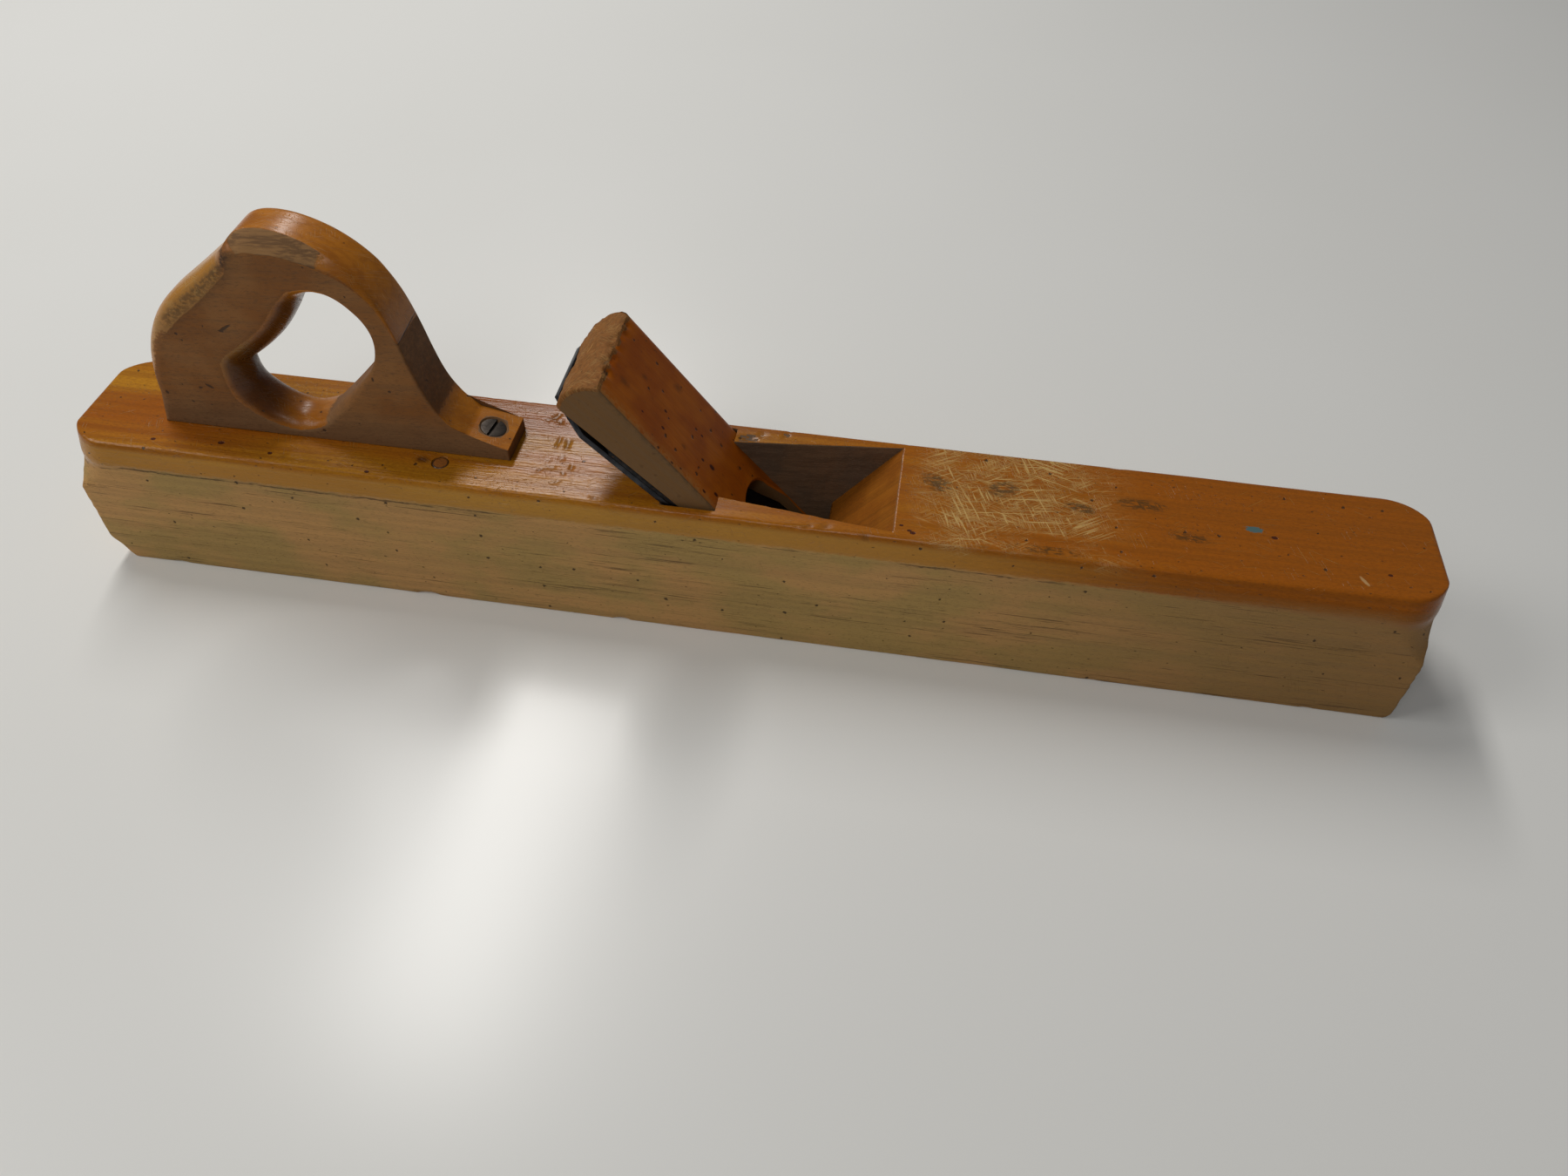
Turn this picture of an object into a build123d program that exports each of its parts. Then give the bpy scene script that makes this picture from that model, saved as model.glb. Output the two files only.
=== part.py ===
from build123d import *
import os
from math import atan2, cos, degrees, radians, sin, sqrt, tan

# A wooden try plane: a long beech stock with a closed handle, a wedge, and a
# double iron (cutting iron, cap iron, threaded boss and clamping screw).
# Frame: millimetres, +X towards the toe, +Y to the left hand, +Z up.
# The origin is the middle of the sole.

# --- Driving dimensions: the stock ------------------------------------------------
stock_length = 650.0
stock_width = 75.0
stock_height = 77.0
chamfer_in = 5.0  # long top chamfers, measured on the top face
chamfer_down = 10.3  # and down the side
end_round = 1.5  # rounding of the top face into both ends
corner_radius = 21.0  # plan rounding of the four upright corners
cove_top = 66.0  # the corner rounding fades out between these heights
cove_middle = (24.1, 53.8)  # radius reached half way down the cove, and its height
cove_bottom = 43.0
heel_wear = (9.0, 12.0)  # worn lower arris of the heel, along and up
toe_wear = (3.0, 4.0)  # worn lower arris of the toe

# --- Driving dimensions: bed, throat and mouth ------------------------------------
bed_angle = 45.0
bed_foot_x = 48.0  # where the bed plane meets the sole
pocket_width = 58.4
abutment_angle = 52.2  # front wall of the wedge slot, from the sole
abutment_top_x = -3.3
throat_rear_half = 19.5  # half width between the cheeks at the abutments
throat_front_x = 79.0
throat_front_half = 28.8
breast_knee = (45.8, 38.4)  # where the breast turns down to the mouth
mouth_front_x = 54.0
relief_height = 20.0  # below this the throat is as wide as the pocket

# --- Driving dimensions: the double iron ------------------------------------------
iron_width = 57.0
iron_thickness = 3.0
iron_top = 175.5  # height of the iron's square end, up the bed
iron_corner = (10.5, 18.0)  # clipped top corners, across and down
edge_above_sole = 0.3
bevel_angle = 27.0
slot_width = 9.0
slot_bottom, slot_top = 42.0, 128.0
slot_eye_diameter = 23.0
cap_thickness = 2.2
cap_setback = 1.5  # cap iron edge behind the cutting edge
cap_top = 152.0
cap_corner = 9.0  # clipped top corners
screw_height = 88.0  # clamping screw, up the bed
screw_diameter = 8.0
screw_head = (20.0, 4.0)  # diameter, thickness
boss_diameter = 18.0
boss_height = 6.0
spigot_diameter = 12.0
groove_width = 24.0  # groove in the bed for the screw head
groove_depth = 7.0
groove_bottom = 70.0

# --- Driving dimensions: the wedge ------------------------------------------------
wedge_width = 57.0
wedge_tip = 28.0  # lower end of the two prongs, up the bed
wedge_crown = (174.0, 176.4, 168.4)  # rear, middle and front height of the top end
fork_arch_top = 73.9
fork_arch_half = 17.0
fork_foot = (46.5, 23.0)  # where the prongs pass behind the cheeks
recess_width = 24.0  # recess in the rear face for the boss
recess_depth = 7.2
recess_top = 110.0

# --- Driving dimensions: the handle and its fixings -------------------------------
handle_thickness = 24.8
handle_rear_x = -281.4
handle_front_x = -106.0
toe_heights = (88.9, 83.8)  # top of the handle's front tail, rear and front
tail_rear_x = -126.0
tenon = (110.0, 10.0, 12.0)  # length, width, depth of the stub tenon
tenon_centre_x = -205.0
wood_screw_x = -116.5
wood_screw_head = 13.0
wood_screw_shank = 6.5
wood_screw_length = 38.0
plug_centre = (-138.4, -18.9)
plug_diameter = 8.0
plug_length = 12.0

face_gap = 0.1  # gap between faces that slide on each other
glue_gap = 0.05  # gap round a glued joint

# --- Planes and levels worked out from the dimensions ------------------------------
up_x, up_z = -cos(radians(bed_angle)), sin(radians(bed_angle))
bed_foot = (bed_foot_x, 0, 0)
# bed_front: x across the plane, y up the bed, z out of the bed.
bed_front = Plane(origin=bed_foot, x_dir=(0, 1, 0), z_dir=(up_z, 0, -up_x))
# bed_side: x up the bed, y out of the bed, z across the plane.
bed_side = Plane(origin=bed_foot, x_dir=(up_x, 0, up_z), z_dir=(0, 1, 0))

iron_back = face_gap
iron_front = iron_back + iron_thickness
cap_back = iron_front + face_gap
cap_front = cap_back + cap_thickness
wedge_back = cap_front + face_gap
edge_height = edge_above_sole * sqrt(2) - iron_front
above = stock_height + 1.0


def abutment_x(z):
    """X of the abutment face, the front wall of the wedge slot, at height z."""
    return abutment_top_x + (stock_height - z) / tan(radians(abutment_angle))


def breast_x(z):
    """X of the throat's front wall at height z."""
    knee_x, knee_z = breast_knee
    if z < knee_z:
        return mouth_front_x + (knee_x - mouth_front_x) * z / knee_z
    return knee_x + (throat_front_x - knee_x) * (z - knee_z) / (stock_height - knee_z)


def wedge_front(s):
    """Distance of the wedge's front face from the bed, at height s up the bed."""
    top_x = abutment_top_x - face_gap * sqrt(2)
    n = (top_x - bed_foot_x + stock_height) / sqrt(2)
    s_top = (bed_foot_x - top_x + stock_height) / sqrt(2)
    return n + (s - s_top) * tan(radians(abutment_angle - bed_angle))


# --- Stock --------------------------------------------------------------------------
# Tool for one upright corner: everything outside a cylinder of the corner radius,
# whose lower end runs out to the square corner in a shallow cove.
with BuildPart() as corner_tool:
    with BuildSketch(Plane.XZ):
        with BuildLine():
            outer = corner_radius * 1.46
            Polyline((corner_radius, cove_top), (corner_radius, above), (outer, above), (outer, cove_bottom))
            ThreePointArc((outer, cove_bottom), cove_middle, (corner_radius, cove_top))
        make_face()
    revolve(axis=Axis.Z)

with BuildPart() as stock_body:
    # Side view: rounded top ends and worn lower arrises.
    with BuildSketch(Plane.XZ.offset(-stock_width / 2)):
        with BuildLine():
            heel, toe = -stock_length / 2, stock_length / 2
            shoulder = stock_height - end_round
            Polyline(
                (heel, shoulder), (heel, heel_wear[1]), (heel + heel_wear[0], 0),
                (toe - toe_wear[0], 0), (toe, toe_wear[1]), (toe, shoulder),
            )
            RadiusArc((toe, shoulder), (toe - end_round, stock_height), -end_round)
            Line((toe - end_round, stock_height), (heel + end_round, stock_height))
            RadiusArc((heel + end_round, stock_height), (heel, shoulder), -end_round)
        make_face()
    extrude(amount=stock_width)
    # End view: chamfered long top edges.
    with BuildSketch(Plane.YZ.offset(-stock_length / 2)):
        half = stock_width / 2
        Polygon(
            (-half, 0), (half, 0), (half, stock_height - chamfer_down), (half - chamfer_in, stock_height),
            (chamfer_in - half, stock_height), (-half, stock_height - chamfer_down),
            align=None,
        )
    extrude(amount=stock_length, mode=Mode.INTERSECT)

    # Wedge slot: full pocket width, from the bed to the abutments, and the whole
    # throat below the relief height.
    with BuildSketch(Plane.XZ.offset(-pocket_width / 2)):
        Polygon(
            (bed_foot_x + 1, -1), (bed_foot_x - above, above), (abutment_x(above), above),
            (abutment_x(relief_height), relief_height), (breast_x(relief_height), relief_height),
            (breast_x(-1), -1),
            align=None,
        )
    extrude(amount=pocket_width, mode=Mode.SUBTRACT)
    # Groove in the bed for the clamping screw's head, open at the top.
    with BuildSketch(bed_front):
        with Locations((0, groove_bottom + 60)):
            Rectangle(groove_width, 120)
    extrude(amount=-groove_depth, mode=Mode.SUBTRACT)
    # Mortise for the handle's stub tenon.
    with BuildSketch(Plane.XY.offset(stock_height)):
        with Locations((tenon_centre_x, 0)):
            Rectangle(tenon[0] + 2 * glue_gap, tenon[1] + 2 * glue_gap)
    extrude(amount=-(tenon[2] + 1.0), mode=Mode.SUBTRACT)
    # Blind hole for the knot plug.
    with BuildSketch(Plane.XY.offset(stock_height)):
        with Locations(plug_centre):
            Circle(plug_diameter / 2 + glue_gap)
    extrude(amount=-plug_length, mode=Mode.SUBTRACT)

# Throat between the flared cheeks, above the relief height.
with BuildPart() as throat_tool:
    with BuildSketch(Plane.XZ.offset(-pocket_width / 2)):
        Polygon(
            (abutment_x(above), above), (abutment_x(relief_height), relief_height),
            (breast_x(relief_height), relief_height), breast_knee, (breast_x(above), above),
            align=None,
        )
    extrude(amount=pocket_width)
    with BuildSketch(Plane.XY):
        flare = (throat_front_half - throat_rear_half) / (throat_front_x - abutment_top_x)
        rear_x, front_x = abutment_top_x - 5, throat_front_x + 5
        rear_half = throat_rear_half - 5 * flare
        front_half = throat_front_half + 5 * flare
        Polygon(
            (rear_x, -rear_half), (front_x, -front_half), (front_x, front_half), (rear_x, rear_half),
            align=None,
        )
    extrude(amount=above, mode=Mode.INTERSECT)

# Wood screw axis: square to the sloping top of the handle's tail.
tail_slope = degrees(atan2(toe_heights[0] - toe_heights[1], handle_front_x - tail_rear_x))
screw_seat_z = toe_heights[1] + (handle_front_x - wood_screw_x) * tan(radians(tail_slope))
screw_seat = Plane(
    origin=(wood_screw_x, 0, screw_seat_z),
    x_dir=(cos(radians(tail_slope)), 0, -sin(radians(tail_slope))),
    z_dir=(sin(radians(tail_slope)), 0, cos(radians(tail_slope))),
)

with BuildPart() as body:
    add(stock_body.part)
    add(throat_tool.part, mode=Mode.SUBTRACT)
    corner_x = stock_length / 2 - corner_radius
    corner_y = stock_width / 2 - corner_radius
    # Each corner takes only the quarter of the tool that lies outside its centre.
    for side_x in (-1, 1):
        for side_y in (-1, 1):
            quarter_centre = (side_x * (corner_x + 20), side_y * (corner_y + 20), above / 2)
            quarter = Pos(*quarter_centre) * Box(40, 40, above, mode=Mode.PRIVATE)
            tool = Pos(side_x * corner_x, side_y * corner_y, 0) * corner_tool.part
            add(tool & quarter, mode=Mode.SUBTRACT)
    # Pilot hole for the wood screw.
    with BuildSketch(screw_seat):
        Circle(wood_screw_shank / 2 + glue_gap)
    extrude(amount=-(wood_screw_length + 2), mode=Mode.SUBTRACT)
body.part.label = "body"

with BuildPart() as knot_plug:
    with BuildSketch(Plane.XY.offset(stock_height)):
        with Locations(plug_centre):
            Circle(plug_diameter / 2)
    extrude(amount=-(plug_length - 0.2))
knot_plug.part.label = "knot_plug"

# --- Handle ---------------------------------------------------------------------------
with BuildPart() as handle:
    with BuildSketch(Plane.XZ.offset(-handle_thickness / 2)):
        with BuildLine():
            palm = Spline(
                (handle_rear_x, stock_height), (-280.0, 98), (-274.5, 121), (-260, 143.5),
                (-240.5, 159.5), (-217.5, 177.5),
            )
            crown = Spline(
                palm @ 1, (-211, 184.6), (-196, 187.6), (-179, 182.8), (-163, 172.2), (-152.5, 156.5),
                (-146.4, 135), (-140.5, 110), (-134, 97), (tail_rear_x, toe_heights[0]),
            )
            Polyline(
                crown @ 1, (handle_front_x, toe_heights[1]), (handle_front_x, stock_height), palm @ 0,
            )
        make_face()
        # Finger hole: an arch over the top, a finger swell behind, a round floor.
        with BuildLine():
            arch = Spline(
                (-195, 90), (-173.9, 114), (-161.5, 130), (-158.7, 143), (-166.5, 155.5), (-179, 161),
                (-190, 156),
            )
            swell = Spline(arch @ 1, (-198, 143.2), (-209, 130), (-221.5, 119.5), (-229.5, 113.5))
            floor = Spline(swell @ 1, (-229, 103), (-222, 92.5), (-208.5, 86), arch @ 0)
        make_face(mode=Mode.SUBTRACT)
    extrude(amount=handle_thickness)
    # Stub tenon under the handle.
    with BuildSketch(Plane.XY.offset(stock_height)):
        with Locations((tenon_centre_x, 0)):
            Rectangle(tenon[0], tenon[1])
    extrude(amount=-tenon[2])
    # Clearance hole and countersink for the wood screw.
    with BuildSketch(screw_seat):
        Circle(wood_screw_shank / 2 + glue_gap)
    extrude(amount=-20, mode=Mode.SUBTRACT)
    with BuildSketch(screw_seat.offset(0.4)):
        Circle(wood_screw_head / 2 + glue_gap + 0.4)
    extrude(amount=-wood_screw_head / 2, taper=45, mode=Mode.SUBTRACT)
handle.part.label = "handle"

with BuildPart() as handle_screw:
    with BuildSketch(screw_seat.offset(-0.3)):
        Circle(wood_screw_head / 2 - 0.3)
    extrude(amount=-(wood_screw_head - wood_screw_shank) / 2, taper=45)
    with BuildSketch(screw_seat.offset(-3)):
        Circle(wood_screw_shank / 2)
    extrude(amount=-(wood_screw_length - 11))
    with BuildSketch(screw_seat.offset(8 - wood_screw_length)):
        Circle(wood_screw_shank / 2)
    extrude(amount=-8, taper=20)
    with BuildSketch(screw_seat.offset(-0.3)):
        Rectangle(1.6, wood_screw_head)
    extrude(amount=-1.6, mode=Mode.SUBTRACT)
handle_screw.part.label = "handle_screw"

# --- Double iron --------------------------------------------------------------------
with BuildPart() as cutting_iron:
    with BuildSketch(bed_side.offset(-iron_width / 2)):
        bevel_run = iron_thickness / tan(radians(bevel_angle))
        Polygon(
            (edge_height, iron_front), (edge_height + bevel_run, iron_back), (iron_top, iron_back),
            (iron_top, iron_front),
            align=None,
        )
    extrude(amount=iron_width)
    # Clipped top corners, bulging slightly.
    with BuildSketch(bed_front):
        with BuildLine():
            Polyline(
                (iron_width / 2, -5), (iron_width / 2, iron_top - iron_corner[1]),
            )
            ThreePointArc(
                (iron_width / 2, iron_top - iron_corner[1]),
                (iron_width / 2 - 3.6, iron_top - 11.2),
                (iron_width / 2 - iron_corner[0], iron_top),
            )
            Line((iron_width / 2 - iron_corner[0], iron_top), (0, iron_top))
            Line((0, iron_top), (0, -5))
            Line((0, -5), (iron_width / 2, -5))
        make_face()
        mirror(about=Plane.YZ)
    extrude(amount=iron_front + 1, mode=Mode.INTERSECT)
    # Slot for the clamping screw, with a round eye that its head passes through.
    with BuildSketch(bed_front):
        with Locations((0, (slot_bottom + slot_top) / 2)):
            SlotOverall(slot_top - slot_bottom, slot_width, rotation=90)
        with Locations((0, slot_top)):
            Circle(slot_eye_diameter / 2)
    extrude(amount=iron_front + 1, mode=Mode.SUBTRACT)
cutting_iron.part.label = "cutting_iron"

with BuildPart() as cap_iron:
    # Side view: flat spring plate, humped just above its edge.
    cap_edge = edge_height + cap_setback
    with BuildSketch(bed_side.offset(-iron_width / 2)):
        with BuildLine():
            Line((cap_edge, cap_back), (cap_edge + 1.2, cap_back))
            under = ThreePointArc((cap_edge + 1.2, cap_back), (7.5, cap_back + 1.3), (16, cap_back))
            Line(under @ 1, (cap_top, cap_back))
            Line((cap_top, cap_back), (cap_top, cap_front))
            Line((cap_top, cap_front), (17, cap_front))
            ThreePointArc((17, cap_front), (8, cap_front + 1.6), (cap_edge, cap_back))
        make_face()
    extrude(amount=iron_width)
    # Clipped top corners, and the hole for the boss's spigot.
    with BuildSketch(bed_front):
        half = iron_width / 2
        Polygon(
            (-half, -5), (half, -5), (half, cap_top - cap_corner), (half - cap_corner, cap_top),
            (cap_corner - half, cap_top), (-half, cap_top - cap_corner),
            align=None,
        )
        with Locations((0, screw_height)):
            Circle(spigot_diameter / 2, mode=Mode.SUBTRACT)
    extrude(amount=cap_front + 5, mode=Mode.INTERSECT)
cap_iron.part.label = "cap_iron"

with BuildPart() as cap_iron_boss:
    with BuildSketch(bed_front.offset(cap_back)):
        with Locations((0, screw_height)):
            Circle(spigot_diameter / 2 - glue_gap)
    extrude(amount=cap_thickness)
    with BuildSketch(bed_front.offset(cap_front)):
        with Locations((0, screw_height)):
            Circle(boss_diameter / 2)
    extrude(amount=boss_height)
    chamfer(cap_iron_boss.faces().sort_by(Axis((0, 0, 0), (up_z, 0, -up_x)))[-1].edges(), length=0.8)
    with BuildSketch(bed_front):
        with Locations((0, screw_height)):
            Circle(screw_diameter / 2 + glue_gap)
    extrude(amount=cap_front + boss_height + 1, mode=Mode.SUBTRACT)
cap_iron_boss.part.label = "cap_iron_boss"

with BuildPart() as cap_iron_screw:
    with BuildSketch(bed_front.offset(-screw_head[1])):
        with Locations((0, screw_height)):
            Circle(screw_head[0] / 2)
    extrude(amount=screw_head[1])
    chamfer(cap_iron_screw.edges().sort_by(Axis((0, 0, 0), (up_z, 0, -up_x)))[0], length=0.8)
    with BuildSketch(bed_front):
        with Locations((0, screw_height)):
            Circle(screw_diameter / 2)
    extrude(amount=cap_front + boss_height - 0.5)
    # Slot for a screwdriver in the face that lies in the bed groove.
    with BuildSketch(bed_front.offset(-screw_head[1])):
        with Locations((0, screw_height)):
            Rectangle(screw_head[0] + 2, 2.2)
    extrude(amount=1.8, mode=Mode.SUBTRACT)
cap_iron_screw.part.label = "cap_iron_screw"

# --- Wedge -----------------------------------------------------------------------------
with BuildPart() as wedge:
    rear_top, crown_top, front_top = wedge_crown
    with BuildSketch(bed_side.offset(-wedge_width / 2)):
        with BuildLine():
            Polyline(
                (rear_top, wedge_back), (wedge_tip, wedge_back), (wedge_tip, wedge_front(wedge_tip)),
                (front_top, wedge_front(front_top)),
            )
            ThreePointArc(
                (front_top, wedge_front(front_top)), (crown_top, 13.5), (rear_top, wedge_back),
            )
        make_face()
    extrude(amount=wedge_width)
    # Fork: an arch between two prongs that spread to pass behind the cheeks.
    with BuildSketch(bed_front):
        with BuildLine():
            foot_s, foot_half = fork_foot
            arch_foot = (fork_arch_half, 62.0)
            ThreePointArc(
                (-arch_foot[0], arch_foot[1]), (0, fork_arch_top), (arch_foot[0], arch_foot[1]),
            )
            Polyline(
                (arch_foot[0], arch_foot[1]), (foot_half, foot_s), (foot_half, wedge_tip - 5),
                (-foot_half, wedge_tip - 5), (-foot_half, foot_s), (-arch_foot[0], arch_foot[1]),
            )
        make_face()
    extrude(amount=60, mode=Mode.SUBTRACT)
    # Recess in the rear face that clears the cap iron's boss.
    with BuildSketch(bed_front):
        with Locations((0, (fork_arch_top + recess_top) / 2 - 10)):
            SlotOverall(recess_top - fork_arch_top + 20, recess_width, rotation=90)
    extrude(amount=wedge_back + recess_depth, mode=Mode.SUBTRACT)
wedge.part.label = "wedge"

# --- Output ------------------------------------------------------------------------------
os.makedirs("parts", exist_ok=True)
export_step(body.part, "parts/body.step")
export_step(knot_plug.part, "parts/knot_plug.step")
export_step(handle.part, "parts/handle.step")
export_step(handle_screw.part, "parts/handle_screw.step")
export_step(cutting_iron.part, "parts/cutting_iron.step")
export_step(cap_iron.part, "parts/cap_iron.step")
export_step(cap_iron_boss.part, "parts/cap_iron_boss.step")
export_step(cap_iron_screw.part, "parts/cap_iron_screw.step")
export_step(wedge.part, "parts/wedge.step")
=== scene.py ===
"""Looks of a wooden try plane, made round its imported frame.

Lengths are millimetres inside this file and become metres when a mesh, a light or the camera is made.
Frame: +X to the toe, +Y to the left hand, +Z up, origin in the middle of the sole.
The irons lie on a bed that leans at 45 degrees. A point on them is given in bed coordinates:
how far up the bed, how far across it, and how far out of it.
"""

from __future__ import annotations

import logging
import math
from dataclasses import dataclass, field
from enum import Enum
from typing import Callable, Sequence

import bpy
import numpy as np
from mathutils import Matrix, Vector


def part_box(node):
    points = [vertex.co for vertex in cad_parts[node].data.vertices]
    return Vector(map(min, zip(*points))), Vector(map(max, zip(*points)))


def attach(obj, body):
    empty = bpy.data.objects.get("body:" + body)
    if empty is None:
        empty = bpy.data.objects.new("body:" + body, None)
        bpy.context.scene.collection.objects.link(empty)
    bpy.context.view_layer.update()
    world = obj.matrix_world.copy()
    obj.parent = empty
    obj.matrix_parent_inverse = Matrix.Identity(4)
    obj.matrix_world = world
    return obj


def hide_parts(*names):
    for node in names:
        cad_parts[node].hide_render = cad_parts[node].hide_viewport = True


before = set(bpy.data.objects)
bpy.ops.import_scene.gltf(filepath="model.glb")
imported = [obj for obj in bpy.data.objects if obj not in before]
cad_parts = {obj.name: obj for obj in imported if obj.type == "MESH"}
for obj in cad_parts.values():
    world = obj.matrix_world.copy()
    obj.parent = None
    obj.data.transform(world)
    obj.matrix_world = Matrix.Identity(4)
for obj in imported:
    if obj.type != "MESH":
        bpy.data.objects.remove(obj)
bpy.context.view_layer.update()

LOG = logging.getLogger("try_plane")
MM = 0.001
ROOT2 = math.sqrt(2.0)

Array = np.ndarray
Colour = tuple[float, float, float]
Socket = bpy.types.NodeSocket


# --- Shapes as arrays -----------------------------------------------------------------


def node_box(node: str) -> tuple[Array, Array]:
    """Lowest and highest corner of a CAD node, in millimetres."""
    low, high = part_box(node)
    return np.array(low) / MM, np.array(high) / MM


def rise(value: Array, low: float, high: float) -> Array:
    """Smooth step: 0 below low, 1 above high, 3t^2 - 2t^3 between."""
    t = np.clip((value - low) / (high - low), 0.0, 1.0)
    return t * t * (3.0 - 2.0 * t)


def unit(vectors: Array) -> Array:
    """Vectors divided by their lengths."""
    return vectors / np.maximum(np.linalg.norm(vectors, axis=-1, keepdims=True), 1e-12)


def out_of_bed(up: Array, across: Array, out: Array, foot: float) -> Array:
    """Turns bed coordinates into the frame: x = foot + (out - up)/root 2, z = (out + up)/root 2.

    Args:
        up: Distance up the bed from the sole.
        across: Distance across the bed, along Y.
        out: Distance out of the bed, towards the toe.
        foot: X of the line where the bed meets the sole.

    Returns:
        Points with X, Y, Z in the last axis.
    """
    up, across, out = np.broadcast_arrays(up, across, out)
    return np.stack([foot + (out - up) / ROOT2, across, (out + up) / ROOT2], axis=-1)


@dataclass(frozen=True)
class Ripple:
    """Unevenness of a worked surface: a sum of sine waves in seeded directions.

    Height is the root-mean-square size of the unevenness times root 2, in millimetres.
    """

    wavelength: float
    height: float
    seed: int
    waves: int = 9

    def at(self, points: Array) -> Array:
        """Unevenness at points whose coordinates are in the last axis.

        Args:
            points: Places, with their coordinates in the last axis.

        Returns:
            Unevenness at each place.
        """
        rng = np.random.default_rng(self.seed)
        directions = unit(rng.normal(size=(self.waves, points.shape[-1])))
        lengths = self.wavelength * rng.uniform(0.6, 1.7, self.waves)
        phases = rng.uniform(0.0, 2 * math.pi, self.waves)
        angles = 2 * math.pi * (points @ (directions / lengths[:, None]).T) + phases
        return self.height * np.sin(angles).sum(axis=-1) / math.sqrt(self.waves)


@dataclass(frozen=True)
class Dent:
    """A bruise in a face: a bell-shaped hollow, longer one way than the other."""

    x: float
    y: float
    long: float
    wide: float
    depth: float
    turn: float = 0.0

    def depth_at(self, x: Array, y: Array) -> Array:
        """Depth: depth * exp(-(u/long)^4 - (v/wide)^4), with u, v turned by the dent's angle.

        Args:
            x: X of the places.
            y: Y of the places.

        Returns:
            Depth at each place.
        """
        c, s = math.cos(math.radians(self.turn)), math.sin(math.radians(self.turn))
        u = (c * (x - self.x) + s * (y - self.y)) / self.long
        v = (c * (y - self.y) - s * (x - self.x)) / self.wide
        return self.depth * np.exp(-(u**4) - v**4)


def cubic_through(points: Sequence[tuple[float, float]], spacing: float) -> Array:
    """Natural cubic spline through points, sampled about evenly.

    The parameter is the chord length. The second derivatives solve the usual tridiagonal system and
    are zero at both ends.

    Args:
        points: Points on the curve, in order.
        spacing: Distance from one sample to the next.

    Returns:
        Samples, both ends included.
    """
    p = np.asarray(points, float)
    knots = np.concatenate([[0.0], np.cumsum(np.linalg.norm(np.diff(p, axis=0), axis=1))])
    h = np.diff(knots)
    n = len(p)
    system, right = np.eye(n), np.zeros((n, p.shape[1]))
    rows = np.arange(1, n - 1)
    system[rows, rows - 1], system[rows, rows], system[rows, rows + 1] = h[:-1], 2 * (h[:-1] + h[1:]), h[1:]
    slopes = np.diff(p, axis=0) / h[:, None]
    right[1:-1] = 6 * np.diff(slopes, axis=0)
    bend = np.linalg.solve(system, right)
    t = np.linspace(0.0, knots[-1], max(2, round(knots[-1] / spacing)) + 1)
    i = np.clip(np.searchsorted(knots, t, side="right") - 1, 0, n - 2)
    a, b, hi = knots[i + 1] - t, t - knots[i], h[i]
    a, b, hi = a[:, None], b[:, None], hi[:, None]
    curve = (bend[i] * a**3 + bend[i + 1] * b**3) / (6 * hi)
    return curve + (p[i] / hi - bend[i] * hi / 6) * a + (p[i + 1] / hi - bend[i + 1] * hi / 6) * b


def rounded_polygon(
    corners: Sequence[tuple[float, float]],
    radii: Sequence[float],
    spacings: Sequence[float],
    arc_steps: int = 5,
) -> Array:
    """Closed outline with each corner replaced by an arc that touches both its sides.

    Args:
        corners: Corners in order.
        radii: Radius of the arc at each corner.
        spacings: Distance between samples on the side that follows each corner.
        arc_steps: Steps in each arc.

    Returns:
        Samples round the outline, without a repeated last point.
    """
    c = np.asarray(corners, float)
    before, after = unit(np.roll(c, 1, axis=0) - c), unit(np.roll(c, -1, axis=0) - c)
    half = 0.5 * np.arccos(np.clip((before * after).sum(axis=1), -1, 1))
    reach = np.asarray(radii) / np.tan(half)
    starts, ends = c + before * reach[:, None], c + after * reach[:, None]
    centres = c + unit(before + after) * (np.asarray(radii) / np.sin(half))[:, None]
    t = np.linspace(0.0, 1.0, arc_steps + 1)[:, None]
    pieces = []
    for i, centre in enumerate(centres):
        sweep = math.pi - 2 * half[i]
        arms = np.sin((1 - t) * sweep) * (starts[i] - centre) + np.sin(t * sweep) * (ends[i] - centre)
        pieces.append(centre + arms / math.sin(sweep))
        following = starts[(i + 1) % len(c)]
        steps = max(1, round(np.linalg.norm(following - ends[i]) / spacings[i]))
        run = np.linspace(0.0, 1.0, steps + 1)[1:-1, None]
        pieces.append(ends[i] + run * (following - ends[i]))
    return np.concatenate(pieces)


def grown(outline: Array, by: Array) -> Array:
    """A closed outline moved outwards by an amount, with mitred corners.

    Each point moves along the sum of its two sides' outward normals, divided by one plus their
    product, times the amount. The outline runs counter-clockwise.

    Args:
        outline: Points in the plane.
        by: Distance, one number or one for each point.

    Returns:
        The moved points.
    """
    side = unit(np.roll(outline, -1, axis=0) - outline)
    out = np.stack([side[:, 1], -side[:, 0]], axis=-1)
    last = np.roll(out, 1, axis=0)
    mitre = (out + last) / (1 + (out * last).sum(axis=1, keepdims=True))
    return outline + mitre * np.broadcast_to(np.asarray(by, float), outline.shape[:1])[:, None]


def full_turn(steps: int) -> Array:
    """Angles that divide a full turn evenly."""
    return np.linspace(0.0, 2 * math.pi, steps + 1)[:-1]


def spun(heights: Array, radii: Array) -> Array:
    """Rings of a shape turned about Z.

    Args:
        heights: Height of each ring.
        radii: Radius at each ring and each of its points.

    Returns:
        Points, as ring, point, coordinate.
    """
    angle = full_turn(radii.shape[1])[None]
    return np.stack(
        np.broadcast_arrays(radii * np.cos(angle), radii * np.sin(angle), heights[:, None]), axis=-1
    )


def raised(flat: Array, z: float) -> Array:
    """Points of a plane outline at a height."""
    return np.column_stack([flat, np.full(len(flat), z)])


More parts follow.
